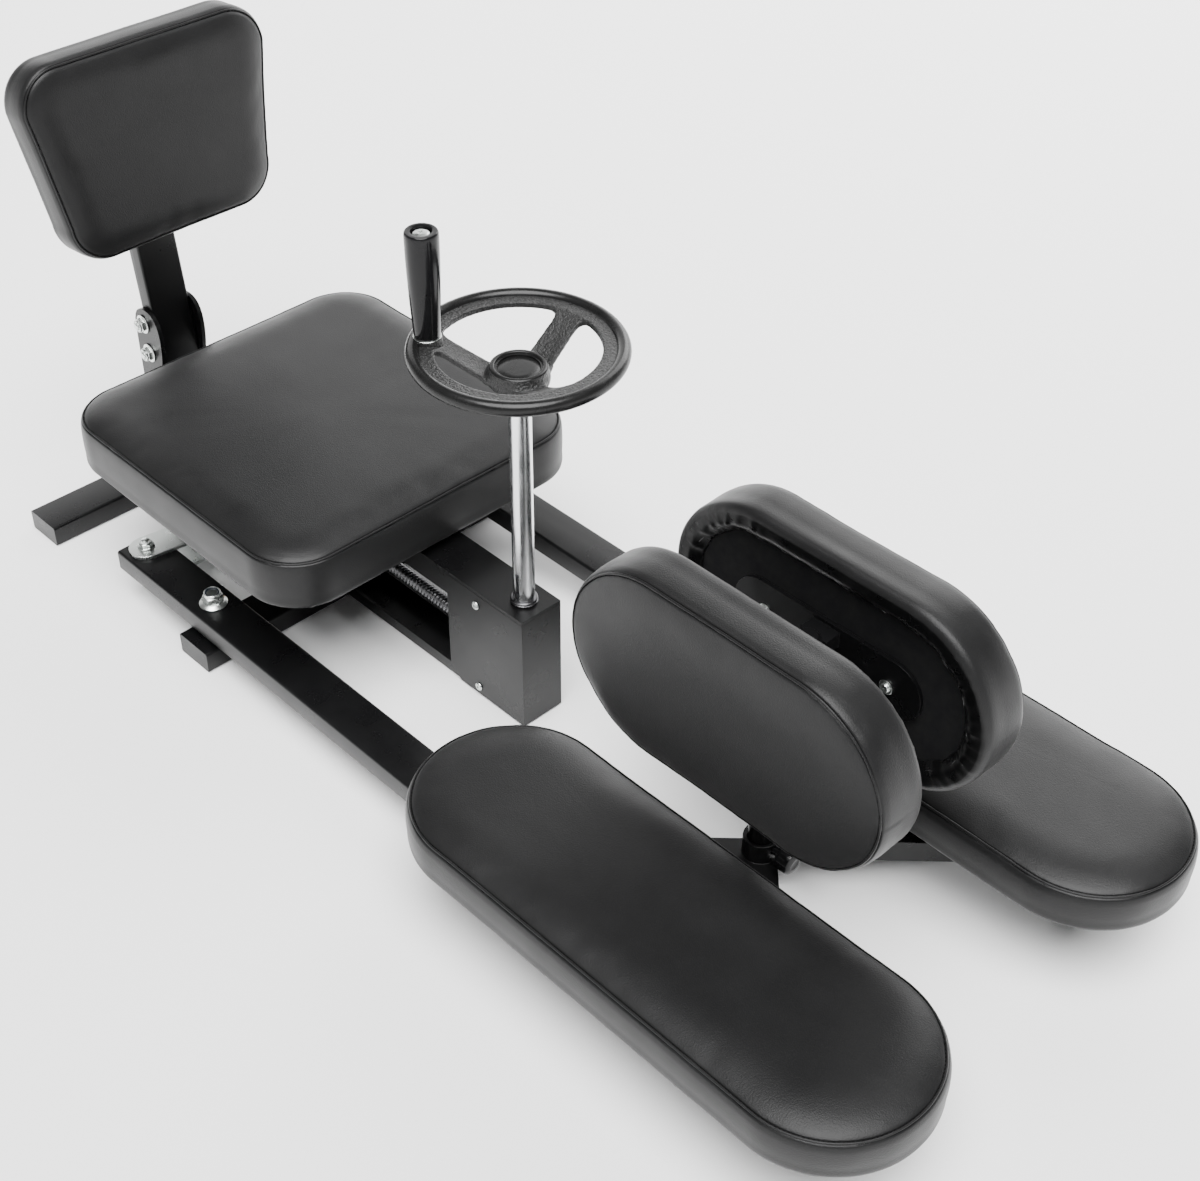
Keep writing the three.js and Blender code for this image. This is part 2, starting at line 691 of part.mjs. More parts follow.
function handle() {
  const height = 105;
  const boreRadius = 4.5;
  const screwRadiusHere = 4;
  const headRadius = 8;
  const headHeight = 3.5;
  const recessRadius = 9.5;
  const recessDepth = 5;
  const footRadius = 12.2;
  const barrelRadius = 15.6;
  const topRadius = 15;
  const round = 2;
  const foot = handleBossTop + gap;
  const top = foot + height;
  const profile = [[boreRadius, foot], [footRadius - round, foot], [footRadius, foot + round]];
  const steps = 6;
  for (let step = 1; step <= steps; step += 1) {
    const share = step / steps;
    const swell = Math.sin(share * Math.PI / 2);
    const radius = THREE.MathUtils.lerp(footRadius, barrelRadius, swell);
    profile.push([radius, foot + round + (height - 4 * round) * share]);
  }
  profile.push([topRadius, top - round / 2], [topRadius - round, top], [recessRadius, top]);
  profile.push([recessRadius, top - recessDepth], [boreRadius, top - recessDepth], [boreRadius, foot]);
  add('handle_grip', turned(handleX, handleAhead, profile, 20), 'plastic');
  const headSeat = top - recessDepth + gap;
  const screw = join(
    drum(handleX, handleAhead, screwRadiusHere, rimHeight - rimRadius / 2, headSeat + headHeight / 2, 16),
    drum(handleX, handleAhead, headRadius, headSeat, headSeat + headHeight, 20),
  );
  add('handle_screw', screw, 'zinc');
}

// Cushions: rings of one outline, drawn in and out over the height, closed by a crowned top

function roundedOutline(lowHalf, highHalf, halfHeight, corner, inset, cornerSteps) {
  const shrink = (corner - inset) / corner;
  const radius = corner * Math.max(shrink, 0.02);
  const corners = [[highHalf, halfHeight, 0], [-highHalf, halfHeight, 1],
    [-lowHalf, -halfHeight, 2], [lowHalf, -halfHeight, 3]];
  const points = [];
  for (const [x, y, quarter] of corners) {
    const middleX = x - Math.sign(x) * (inset + radius);
    const middleY = y - Math.sign(y) * (inset + radius);
    for (let step = 0; step <= cornerSteps; step += 1) {
      const angle = (quarter + step / cornerSteps) * Math.PI / 2;
      points.push([middleX + radius * Math.cos(angle), middleY + radius * Math.sin(angle)]);
    }
  }
  return points;
}

// [inset, height] of the side, as shares of the side's depth, then of the crown
const sideShares = [[0.07, 0], [0.015, 0.05], [0, 0.14], [-0.012, 0.5], [0.005, 0.86], [0.055, 1]];
const crownShares = [[0.1, 0.1], [0.35, 0.42], [0.65, 0.78], [1, 1]];

function cushion({ lowHalf, highHalf, halfHeight, corner, depth, crown, crownReach, cornerSteps }) {
  const rings = [];
  for (const [inset, height] of sideShares) rings.push([inset * depth, height * depth]);
  const seamInset = rings[rings.length - 1][0];
  for (const [inset, height] of crownShares) {
    rings.push([seamInset + inset * crownReach, depth + height * crown]);
  }
  const positions = [];
  for (const [inset, height] of rings) {
    const outline = roundedOutline(lowHalf, highHalf, halfHeight, corner, inset, cornerSteps);
    for (const [x, y] of outline) positions.push(x, y, height);
  }
  const around = 4 * (cornerSteps + 1);
  const index = [];
  for (let ring = 0; ring < rings.length - 1; ring += 1) {
    for (let step = 0; step < around; step += 1) {
      const a = ring * around + step;
      const b = ring * around + (step + 1) % around;
      index.push(a, b, b + around, a, b + around, a + around);
    }
  }
  const last = (rings.length - 1) * around;
  positions.push(0, 0, 0, 0, 0, depth + crown);
  const bottomPoint = rings.length * around;
  for (let step = 0; step < around; step += 1) {
    const next = (step + 1) % around;
    index.push(next, step, bottomPoint);
    index.push(last + step, last + next, bottomPoint + 1);
  }
  const geometry = new THREE.BufferGeometry();
  geometry.setAttribute('position', new THREE.Float32BufferAttribute(positions, 3));
  geometry.setIndex(index);
  return geometry;
}

// The plywood board that a cushion is stapled round, as a plain outline
function boardGeometry({ lowHalf, highHalf, halfHeight, corner, cornerSteps }, inset, thickness) {
  const outline = roundedOutline(lowHalf, highHalf, halfHeight, corner, inset, cornerSteps);
  const shape = new THREE.Shape(outline.map(([x, y]) => new THREE.Vector2(x, y)));
  return extruded(shape, thickness);
}

const boardInset = 12;

// Cushion and board in the cushion's own frame, placed by a matrix
function padAndBoard(padName, boardName, sizes, matrix, frame = machine) {
  const socket = boardGeometry(sizes, boardInset - gap, boardThickness + gap + overrun);
  socket.translate(0, 0, -overrun);
  const pad = cut(solidOf(cushion(sizes)), solidOf(socket));
  const board = solidOf(boardGeometry(sizes, boardInset, boardThickness));
  for (const [name, solid, finish] of [[padName, pad, 'vinyl'], [boardName, board, 'board']]) {
    const geometry = geometryOf(solid);
    geometry.applyMatrix4(matrix);
    const mesh = new THREE.Mesh(geometry, new THREE.MeshStandardMaterial(finishes[finish]));
    mesh.name = name;
    frame.add(mesh);
  }
}

function seat() {
  const railHalf = 120;
  const railAheads = { seat_rail_rear: seatRailRearAhead, seat_rail_front: seatRailFrontAhead };
  for (const [name, ahead] of Object.entries(railAheads)) {
    add(name, block(-railHalf, railHalf, ahead, ahead + seatRailLength, beamHeight + gap,
      seatBottom - gap), 'paint');
  }
  const sizes = {
    lowHalf: seatHalfWidth,
    highHalf: seatHalfWidth,
    halfHeight: (seatFrontAhead - seatRearAhead) / 2,
    corner: seatCorner,
    depth: seatDepth,
    crown: 6,
    crownReach: 56,
    cornerSteps: 9,
  };
  const matrix = new THREE.Matrix4().makeTranslation(0, -(seatFrontAhead + seatRearAhead) / 2, seatBottom);
  padAndBoard('seat_pad', 'seat_board', sizes, matrix);
}

// Backrest: everything is made upright in the post's own frame and then leans back together

const leaning = new THREE.Group();
leaning.position.set(0, -postFootAhead, postFootHeight);
leaning.rotation.x = -THREE.MathUtils.degToRad(leanDegrees);

const backrestBoltRadius = 4;
const backrestBoltBack = 5; // behind the post's middle
const backrestBoltShares = [0.12, 0.237]; // places along the post

function backrestPost() {
  const corner = 3;
  const geometry = extruded(roundedRectangle(postWidth / 2, postDepth / 2, corner), postLength, 3);
  const holes = backrestBoltShares.map((share) => crossRod(-postWidth, postWidth, -backrestBoltBack, share * postLength,
    backrestBoltRadius + gap, 16));
  add('backrest_post', cut(solidOf(geometry), ...holes), 'paint', leaning);
}

function backrestPlate() {
  const halfWidth = 80;
  const halfHeight = 45;
  const corner = 10;
  const thickness = 4;
  const spacerHalf = 22;
  const middle = backLow + backHeight / 2;
  const front = backSeam - backThickness - gap;
  const plate = extruded(roundedRectangle(halfWidth, halfHeight, corner), thickness);
  plate.rotateX(Math.PI / 2);
  plate.translate(0, thickness - front, middle);
  const spacer = block(-spacerHalf, spacerHalf, postDepth / 2 + gap, front - thickness / 2,
    middle - spacerHalf, middle + spacerHalf);
  add('backrest_plate', join(solidOf(plate), spacer), 'paint', leaning);
}

function backrestPad() {
  const sizes = {
    lowHalf: backLowHalfWidth,
    highHalf: backHighHalfWidth,
    halfHeight: backHeight / 2,
    corner: backCorner,
    depth: backThickness,
    crown: 7,
    crownReach: 43,
    cornerSteps: 7,
  };
  const matrix = new THREE.Matrix4().makeRotationX(Math.PI / 2);
  matrix.setPosition(0, backThickness - backSeam, backLow + backHeight / 2);
  padAndBoard('back_pad', 'back_board', sizes, matrix, leaning);
}

// Backrest bracket: two curved cheeks on a rear web, standing on the rear foot

function backrestBracket() {
  const cheekThickness = 5;
  const webThickness = 4;
  const rear = -15;
  const front = 29;
  const bulgeFront = 34;
  const bulgeHeight = 186;
  const top = 219;
  const base = rearFootHeight + gap;
  const webTop = 118;
  const topAhead = 10;
  const shoulder = 150;
  const shape = new THREE.Shape();
  shape.moveTo(rear, base);
  shape.lineTo(front, base);
  shape.lineTo(front, shoulder);
  shape.quadraticCurveTo(bulgeFront, (shoulder + bulgeHeight) / 2, bulgeFront, bulgeHeight);
  shape.quadraticCurveTo(bulgeFront, top, topAhead, top);
  shape.quadraticCurveTo(rear, top, rear, bulgeHeight);
  shape.closePath();
  const inner = postWidth / 2 + gap;
  const holes = backrestBoltShares.map((share) => {
    const along = share * postLength;
    const lean = THREE.MathUtils.degToRad(leanDegrees);
    return crossRod(-2 * inner, 2 * inner, postFootAhead - along * Math.sin(lean) - backrestBoltBack * Math.cos(lean),
      postFootHeight + along * Math.cos(lean) - backrestBoltBack * Math.sin(lean), backrestBoltRadius + gap, 16);
  });
  const cheeks = [-inner - cheekThickness, inner].map((x) => sidePlate(shape, x, x + cheekThickness));
  const web = block(-inner - cheekThickness / 2, inner + cheekThickness / 2, rear, rear + webThickness, base, webTop);
  add('backrest_bracket', cut(join(...cheeks, web), ...holes), 'paint');
}

function backrestBolts() {
  const names = ['backrest_bolt_lower', 'backrest_bolt_upper'];
  const cheekThickness = 5;
  const washerRadius = 11;
  const washerHeight = 1.6;
  const hexRadius = 9.5;
  const hexHeight = 7;
  const face = postWidth / 2 + gap + cheekThickness + gap;
  const end = face + washerHeight + hexHeight;
  backrestBoltShares.forEach((share, index) => {
    const z = share * postLength;
    const bolt = join(
      crossRod(-end + washerHeight, end - washerHeight, -backrestBoltBack, z, backrestBoltRadius, 16),
      crossRod(-face - washerHeight, -face, -backrestBoltBack, z, washerRadius),
      crossRod(face, face + washerHeight, -backrestBoltBack, z, washerRadius),
      crossRod(-end, -face - washerHeight / 2, -backrestBoltBack, z, hexRadius, 6),
      crossRod(face + washerHeight / 2, end, -backrestBoltBack, z, hexRadius, 6),
    );
    add(names[index], bolt, 'zinc', leaning);
  });
}

// Arms: a steel tube closed at the rear, with two risers that carry the leg pad

const rollerAhead = 1170;

function arm(name, side) {
  const corner = 3;
  const x = side * armOffset;
  const rear = crankAhead - crankOverhang;
  const riserHalf = 60;
  const riserLength = 30;
  const riserAheads = [850, 1080];
  const outer = longBar(x, armWidth, armHeight, corner, rear, armFrontAhead, armBottom);
  const innerHeight = armHeight - 2 * tubeWall;
  const inner = longBar(x, armWidth - 2 * tubeWall, innerHeight, corner / 2, rear + tubeWall,
    armFrontAhead + overrun, armBottom + tubeWall);
  const rootHalf = armWidth / 2 - corner;
  const risers = riserAheads.map((ahead) => join(
    block(x - rootHalf, x + rootHalf, ahead, ahead + riserLength, armTop - tubeWall / 2, armTop + tubeWall),
    block(x - riserHalf, x + riserHalf, ahead, ahead + riserLength, armTop + gap, legPadBottom - gap),
  ));
  const pivot = drum(x, pivotAhead, pivotBoltRadius + gap, armBottom - overrun, armTop + overrun, 18);
  add(`arm_${name}`, cut(join(cut(outer, inner), ...risers), pivot), 'paint');
}

// Side bracket: two bars at 45 degrees from the arm to an upright sleeve near the middle

function sideBracket(name, side) {
  const barWidth = 30.4;
  const inner = 2.5;
  const armFace = armOffset - armWidth / 2 - gap;
  const reach = (armFace - postOffset) * Math.SQRT2 + barWidth;
  const bars = [-1, 1].map((direction) => {
    const geometry = new THREE.BoxGeometry(reach, barWidth, armHeight);
    geometry.translate(reach / 2, 0, 0);
    geometry.rotateZ(direction * Math.PI / 4);
    if (side < 0) geometry.rotateZ(Math.PI);
    geometry.translate(side * postOffset, -sidePadMiddleAhead, (armBottom + armTop) / 2);
    return solidOf(geometry);
  });
  const sleeve = drum(side * postOffset, sidePadMiddleAhead, sleeveRadius, sleeveBottom, sleeveTop);
  const bore = drum(side * postOffset, sidePadMiddleAhead, postRadius + gap, sleeveBottom - overrun,
    sleeveTop + overrun);
  const far = armFace + 2 * reach;
  const beyondArm = side > 0
    ? block(armFace, far, sidePadMiddleAhead - reach, sidePadMiddleAhead + reach, 0, 2 * armTop)
    : block(-far, -armFace, sidePadMiddleAhead - reach, sidePadMiddleAhead + reach, 0, 2 * armTop);
  const beyondMiddle = side > 0
    ? block(-reach, inner, sidePadMiddleAhead - reach, sidePadMiddleAhead + reach, 0, 2 * armTop)
    : block(-inner, reach, sidePadMiddleAhead - reach, sidePadMiddleAhead + reach, 0, 2 * armTop);
  const stem = rod(side * postOffset, knobHeight, knobStemRadius + gap, sidePadMiddleAhead,
    sidePadMiddleAhead + sleeveRadius + overrun, 16);
  add(`side_bracket_${name}`, cut(join(...bars, sleeve), beyondArm, beyondMiddle, bore, stem), 'paint');
}

const knobBelowTop = 8;
const knobHeight = sleeveTop - knobBelowTop;
const knobStemRadius = 4;

function knob(name, side) {
  const x = side * postOffset;
  const neck = 8;
  const knobRadius = 12.4;
  const knobLength = 16;
  const start = sidePadMiddleAhead + postRadius + gap;
  const face = sidePadMiddleAhead + sleeveRadius + neck;
  const body = join(
    rod(x, knobHeight, knobStemRadius, start, face + neck, 16),
    rod(x, knobHeight, knobRadius, face, face + knobLength, 18),
  );
  add(`knob_${name}`, body, 'plastic');
}

// Side pad post: a tube that slides in the sleeve, with the pad's plate welded to it

function sidePadPost(name, side) {
  const riseAboveMiddle = 30;
  const footAboveArmBottom = 4;
  const bottom = armBottom + footAboveArmBottom;
  const top = sidePadMiddleHeight + riseAboveMiddle;
  const dome = 5;
  const domeShare = 0.7;
  const plateHalfLength = 105;
  const plateHalfHeight = 30;
  const lugHalf = 15;
  const lugHeight = 16;
  const lugRise = 10;
  const x = side * postOffset;
  const post = turned(x, sidePadMiddleAhead, [[0, bottom], [postRadius, bottom], [postRadius, top - dome],
    [postRadius * domeShare, top], [0, top]], 18);
  const plate = extruded(roundedRectangle(plateHalfLength, plateHalfHeight, plateHalfHeight - gap),
    postPlateThickness, 10);
  plate.rotateX(Math.PI / 2);
  plate.rotateZ(Math.PI / 2);
  const outer = sidePadBack - gap;
  plate.translate(side > 0 ? outer - postPlateThickness : -outer, -sidePadMiddleAhead, sidePadMiddleHeight);
  const inner = postOffset + postRadius / 2;
  const lug = (z) => (side > 0
    ? block(inner, outer - postPlateThickness / 2, sidePadMiddleAhead - lugHalf, sidePadMiddleAhead + lugHalf,
      z, z + lugHeight)
    : block(postPlateThickness / 2 - outer, -inner, sidePadMiddleAhead - lugHalf, sidePadMiddleAhead + lugHalf,
      z, z + lugHeight));
  const low = lug(sidePadMiddleHeight - lugRise - lugHeight);
  const high = lug(sidePadMiddleHeight + lugRise);
  add(`side_pad_post_${name}`, join(post, solidOf(plate), low, high), 'paint');
}

function sidePad(name, side) {
  const sizes = {
    lowHalf: sidePadLength / 2,
    highHalf: sidePadLength / 2,
    halfHeight: sidePadHeight / 2,
    corner: sidePadHeight / 2 - gap,
    depth: sidePadDepth,
    crown: 5,
    crownReach: 60,
    cornerSteps: 7,
  };
  const matrix = new THREE.Matrix4().makeRotationZ(side * Math.PI / 2)
    .multiply(new THREE.Matrix4().makeRotationX(Math.PI / 2));
  matrix.setPosition(side * sidePadBack, -sidePadMiddleAhead, sidePadMiddleHeight);
  padAndBoard(`side_pad_${name}`, `side_board_${name}`, sizes, matrix);
}

function legPad(name, side) {
  const sizes = {
    lowHalf: legPadWidth / 2,
    highHalf: legPadWidth / 2,
    halfHeight: (legPadFrontAhead - legPadRearAhead) / 2,
    corner: legPadWidth / 2 - gap,
    depth: legPadDepth,
    crown: 6,
    crownReach: 60,
    cornerSteps: 7,
  };
  const middle = (legPadFrontAhead + legPadRearAhead) / 2;
  const matrix = new THREE.Matrix4().makeTranslation(side * armOffset, -middle, legPadBottom);
  padAndBoard(`leg_pad_${name}`, `leg_board_${name}`, sizes, matrix);
}

// Floor rollers: a fork under each arm's front end, with a small wheel that turns about the arm's
// own direction, because the arm's end travels sideways

function roller(name, side) {
  const x = side * armOffset;
  const radius = 13;
  const wheelHalf = 7;
  const wall = 2.5;
  const cheekHalfWidth = 9;
  const plateHalfWidth = 16;
  const plateThickness = 2.6;
  const axleRadius = 3;
  const forkBottom = 8;
  const top = armBottom - gap;
  const clear = wheelHalf + 2 * gap;
  const cheeks = [rollerAhead - clear - wall, rollerAhead + clear].map((ahead) => block(
    x - cheekHalfWidth, x + cheekHalfWidth, ahead, ahead + wall, forkBottom, top - plateThickness / 2));
  const plate = block(x - plateHalfWidth, x + plateHalfWidth, rollerAhead - clear - wall,
    rollerAhead + clear + wall, top - plateThickness, top);
  const axle = rod(x, radius, axleRadius, rollerAhead - clear - wall / 2, rollerAhead + clear + wall / 2, 16);
  add(`roller_fork_${name}`, join(...cheeks, plate, axle), 'zinc');
  const wheel = rod(x, radius, radius, rollerAhead - wheelHalf, rollerAhead + wheelHalf, 20);
  const bore = rod(x, radius, axleRadius + gap, rollerAhead - 2 * wheelHalf, rollerAhead + 2 * wheelHalf, 16);
  add(`roller_${name}`, cut(wheel, bore), 'plastic');
}

// Assembly

rearFoot();
pivotFoot();
mainBeam();
gearboxCover();
coverScrews();
bearings();
steeringShaftAndGear();
leadScrewAndGear();
nutCarriage();
handwheel();
steeringTube();
handle();
seat();
backrestPost();
backrestPlate();
backrestPad();
backrestBracket();
backrestBolts();
machine.add(leaning);
for (const [name, side] of sides) {
  pivotBolt(`pivot_bolt_${name}`, side);
  linkPlates(name, side);
  linkBolt(name, side);
  arm(name, side);
  sideBracket(name, side);
  knob(name, side);
  sidePadPost(name, side);
  sidePad(name, side);
  legPad(name, side);
  roller(name, side);
}

// The origin goes to the middle of the machine's outline on the floor
const outline = new THREE.Box3().setFromObject(machine);
machine.position.y = -(outline.min.y + outline.max.y) / 2;
machine.updateMatrixWorld(true);

export default machine;
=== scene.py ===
import json
import math
import bmesh
import bpy
import numpy as np
from mathutils import Matrix, Vector, noise
from mathutils.kdtree import KDTree

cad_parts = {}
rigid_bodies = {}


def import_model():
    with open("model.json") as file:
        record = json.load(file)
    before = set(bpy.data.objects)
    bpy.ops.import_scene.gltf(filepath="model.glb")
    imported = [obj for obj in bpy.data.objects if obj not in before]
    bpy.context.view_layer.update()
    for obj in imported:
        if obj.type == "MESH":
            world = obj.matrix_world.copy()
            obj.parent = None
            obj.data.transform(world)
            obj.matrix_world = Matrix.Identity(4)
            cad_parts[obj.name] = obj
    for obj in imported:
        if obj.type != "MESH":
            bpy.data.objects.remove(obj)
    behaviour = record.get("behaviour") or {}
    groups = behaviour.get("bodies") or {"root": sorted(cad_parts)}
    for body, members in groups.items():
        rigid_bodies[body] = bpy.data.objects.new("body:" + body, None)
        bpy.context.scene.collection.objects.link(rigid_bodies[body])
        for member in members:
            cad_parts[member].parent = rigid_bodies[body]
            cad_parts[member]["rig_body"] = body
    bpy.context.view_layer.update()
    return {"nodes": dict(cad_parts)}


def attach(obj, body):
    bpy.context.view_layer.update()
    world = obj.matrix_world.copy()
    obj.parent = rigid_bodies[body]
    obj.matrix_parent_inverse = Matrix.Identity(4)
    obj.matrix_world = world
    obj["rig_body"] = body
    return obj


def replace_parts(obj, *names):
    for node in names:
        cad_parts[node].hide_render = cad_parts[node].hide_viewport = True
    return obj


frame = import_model()

# Camera, floor and light. The camera stands high at the machine's front right, on the photograph's
# own line of sight. The floor is plain and pale, and the sky is white at the horizon and dark above.
# A broad lamp shines from the front right, a low wide one from behind and a small one from the side.
eye = Vector((-0.958227, -1.087078, 1.348019))
sight = Vector((0.5391046, 0.5516854, -0.6364035)).normalized()
upright = Vector((0.438106, 0.461654, 0.771323))
across = sight.cross(upright).normalized()
upright = across.cross(sight).normalized()
camera_data = bpy.data.cameras.new("camera")
camera_data.lens = 57.02
camera_data.sensor_width = 36.0
camera_data.clip_end = 50.0
camera = bpy.data.objects.new("camera", camera_data)
turn = Matrix((across, upright, -sight)).transposed()
camera.matrix_world = Matrix.Translation(eye) @ turn.to_4x4()
bpy.context.scene.collection.objects.link(camera)
bpy.context.scene.camera = camera

floor_reach = 9
floor_mesh = bpy.data.meshes.new("floor")
floor_corners = [(x * floor_reach, y * floor_reach, 0) for x, y in ((-1, -1), (1, -1), (1, 1), (-1, 1))]
floor_mesh.from_pydata(floor_corners, [], [(0, 1, 2, 3)])
floor = bpy.data.objects.new("floor", floor_mesh)
bpy.context.scene.collection.objects.link(floor)
floor_paint = bpy.data.materials.new("floor_paint")
floor_paint.use_nodes = True
floor_shader = floor_paint.node_tree.nodes["Principled BSDF"]
floor_shader.inputs["Base Color"].default_value = (0.92, 0.92, 0.92, 1)
floor_shader.inputs["Roughness"].default_value = 0.9
floor_shader.inputs["Specular IOR Level"].default_value = 0.1
floor_mesh.materials.append(floor_paint)

world = bpy.data.worlds.new("studio")
world.use_nodes = True
sky_nodes, sky_links = world.node_tree.nodes, world.node_tree.links
sky_place = sky_nodes.new("ShaderNodeTexCoord")
sky_split = sky_nodes.new("ShaderNodeSeparateXYZ")
sky_links.new(sky_place.outputs["Generated"], sky_split.inputs["Vector"])
sky_ramp = sky_nodes.new("ShaderNodeValToRGB")
sky_ramp.color_ramp.elements[0].position = 0.0
sky_ramp.color_ramp.elements[0].color = (1, 1, 1, 1)
sky_ramp.color_ramp.elements[1].position = 0.38
sky_ramp.color_ramp.elements[1].color = (0.045, 0.045, 0.045, 1)
middle = sky_ramp.color_ramp.elements.new(0.12)
middle.color = (0.6, 0.6, 0.6, 1)
sky_links.new(sky_split.outputs["Z"], sky_ramp.inputs["Fac"])
sky_links.new(sky_ramp.outputs["Color"], sky_nodes["Background"].inputs["Color"])
sky_nodes["Background"].inputs["Strength"].default_value = 2.2
bpy.context.scene.world = world
for name, kind, spot, wide, high, power in (("overhead", "SUN", (-0.75, -0.7, 3.4), 0, 0, 9.2),
                                            ("backdrop", "AREA", (2.76, 2.41, 1.72), 7.0, 2.85, 135),
                                            ("side", "AREA", (2.4, 0.6, 1.9), 1.8, 1.8, 58)):
    lamp = bpy.data.lights.new(name, kind)
    if kind == "AREA":
        lamp.shape = "RECTANGLE"
        lamp.size = wide
        lamp.size_y = high
    else:
        lamp.angle = math.radians(52)
    lamp.energy = power
    light = bpy.data.objects.new(name, lamp)
    light.location = spot
    aim = Vector((0, 0, spot[2] if name == "backdrop" else 0.15))
    light.rotation_euler = (aim - Vector(spot)).to_track_quat("-Z", "Y").to_euler()
    bpy.context.scene.collection.objects.link(light)


# Feet, beam, arms, brackets and post: square steel tube and plate, welded and coated with black
# powder, which leaves a fine ripple and softens every edge. Each is the CAD solid with its edges
# rounded over.
def finish(name, colour, second, tone, rough, spread, grain, depth, metal=0.0, gloss=0.5):
    """A surface with two mixed tones, an uneven roughness and a fine relief, from noise in metres."""
    material = bpy.data.materials.new(name)
    material.use_nodes = True
    nodes, links = material.node_tree.nodes, material.node_tree.links
    shader = nodes["Principled BSDF"]
    shader.inputs["Metallic"].default_value = metal
    shader.inputs["Specular IOR Level"].default_value = gloss
    place = nodes.new("ShaderNodeTexCoord")

    def noise_at(scale, detail):
        """Noise over the piece's own place."""
        texture = nodes.new("ShaderNodeTexNoise")
        texture.inputs["Scale"].default_value = scale
        texture.inputs["Detail"].default_value = detail
        links.new(place.outputs["Object"], texture.inputs["Vector"])
        return texture.outputs["Fac"]

    ramp = nodes.new("ShaderNodeValToRGB")
    ramp.color_ramp.elements[0].position = 0.32
    ramp.color_ramp.elements[0].color = (*colour, 1)
    ramp.color_ramp.elements[1].position = 0.7
    ramp.color_ramp.elements[1].color = (*second, 1)
    links.new(noise_at(tone, 5), ramp.inputs["Fac"])
    links.new(ramp.outputs["Color"], shader.inputs["Base Color"])
    span = nodes.new("ShaderNodeMapRange")
    span.inputs["From Min"].default_value = 0.3
    span.inputs["From Max"].default_value = 0.7
    span.inputs["To Min"].default_value = rough - spread
    span.inputs["To Max"].default_value = rough + spread
    links.new(noise_at(tone * 2.7, 6), span.inputs["Value"])
    links.new(span.outputs["Result"], shader.inputs["Roughness"])
    bump = nodes.new("ShaderNodeBump")
    bump.inputs["Strength"].default_value = 1.0
    bump.inputs["Distance"].default_value = depth
    links.new(noise_at(grain, 3), bump.inputs["Height"])
    links.new(bump.outputs["Normal"], shader.inputs["Normal"])
    return material


def settle(shape, name, material, body, smooth=32):
    """Turns a bmesh into a finished piece that rides on a body."""
    for face in shape.faces:
        face.smooth = True
    for edge in shape.edges:
        edge.smooth = len(edge.link_faces) == 2 and edge.calc_face_angle(0) < math.radians(smooth)
    mesh = bpy.data.meshes.new(name)
    shape.to_mesh(mesh)
    shape.free()
    mesh.materials.append(material)
    piece = bpy.data.objects.new(name, mesh)
    bpy.context.scene.collection.objects.link(piece)
    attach(piece, body)
    return piece


def bake(piece):
    """Puts the result of a piece's modifiers into its mesh."""
    bpy.context.view_layer.update()
    result = bpy.data.meshes.new_from_object(piece.evaluated_get(bpy.context.evaluated_depsgraph_get()))
    piece.modifiers.clear()
    piece.data = result


def round_over(piece, width, steps=2, angle=32):
    """Rounds the sharp edges of a piece and keeps its flats flat."""
    bevel = piece.modifiers.new("edges", "BEVEL")
    bevel.width = width
    bevel.segments = steps
    bevel.limit_method = "ANGLE"
    bevel.angle_limit = math.radians(angle)
    bevel.harden_normals = True
    bevel.use_clamp_overlap = True
    bake(piece)


def dress(node, material, width=0.0008, steps=2):
    """A copy of a CAD node with merged faces and rounded edges."""
    source = frame["nodes"][node]
    shape = bmesh.new()
    shape.from_mesh(source.data)
    bmesh.ops.remove_doubles(shape, verts=shape.verts, dist=2e-6)
    bmesh.ops.dissolve_limit(shape, angle_limit=math.radians(0.6), verts=shape.verts, edges=shape.edges)
    piece = settle(shape, node + "_dressed", material, source["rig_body"])
    round_over(piece, width, steps)
    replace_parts(piece, node)
    return piece


powder = finish("black_powder_coat", (0.0024, 0.0024, 0.0026), (0.0042, 0.0042, 0.0045), tone=9, rough=0.3,
                spread=0.05, grain=1100, depth=0.00009, gloss=0.27)
for node in ("rear_foot", "pivot_foot", "main_beam", "gearbox_cover", "arm_right", "arm_left",
             "side_bracket_right", "side_bracket_left", "backrest_bracket", "backrest_post", "backrest_plate",
             "seat_rail_rear", "seat_rail_front", "side_pad_post_right", "side_pad_post_left"):
    dress(node, powder)

length_to_origin = 0.6149769


def floor_place(side_way, ahead, height):
    """A point from its distance to the right, ahead of the rear foot's back and above the floor."""
    return Vector((side_way, length_to_origin - ahead, height))


# Weld beads: where the tubes and plates of the frame meet, a rippled bead of weld metal lies under
# the powder coat. Each ripple is one drop of the bead, laid along the joint.
def open_tree(name, path, sizes, result):
    """A tree that lays instances along a path, at even steps of its first named size."""
    tree = bpy.data.node_groups.new(name, "GeometryNodeTree")
    face = tree.interface
    face.new_socket(path, in_out="INPUT", socket_type="NodeSocketGeometry")
    for label, value in sizes:
        face.new_socket(label, in_out="INPUT", socket_type="NodeSocketFloat").default_value = value
    face.new_socket(result, in_out="OUTPUT", socket_type="NodeSocketGeometry")
    start = tree.nodes.new("NodeGroupInput")
    resample = tree.nodes.new("GeometryNodeResampleCurve")
    resample.mode = "LENGTH"
    tree.links.new(start.outputs[path], resample.inputs["Curve"])
    tree.links.new(start.outputs[sizes[0][0]], resample.inputs["Length"])
    laid = tree.nodes.new("GeometryNodeInstanceOnPoints")
    tree.links.new(resample.outputs["Curve"], laid.inputs["Points"])
    return tree, start, laid


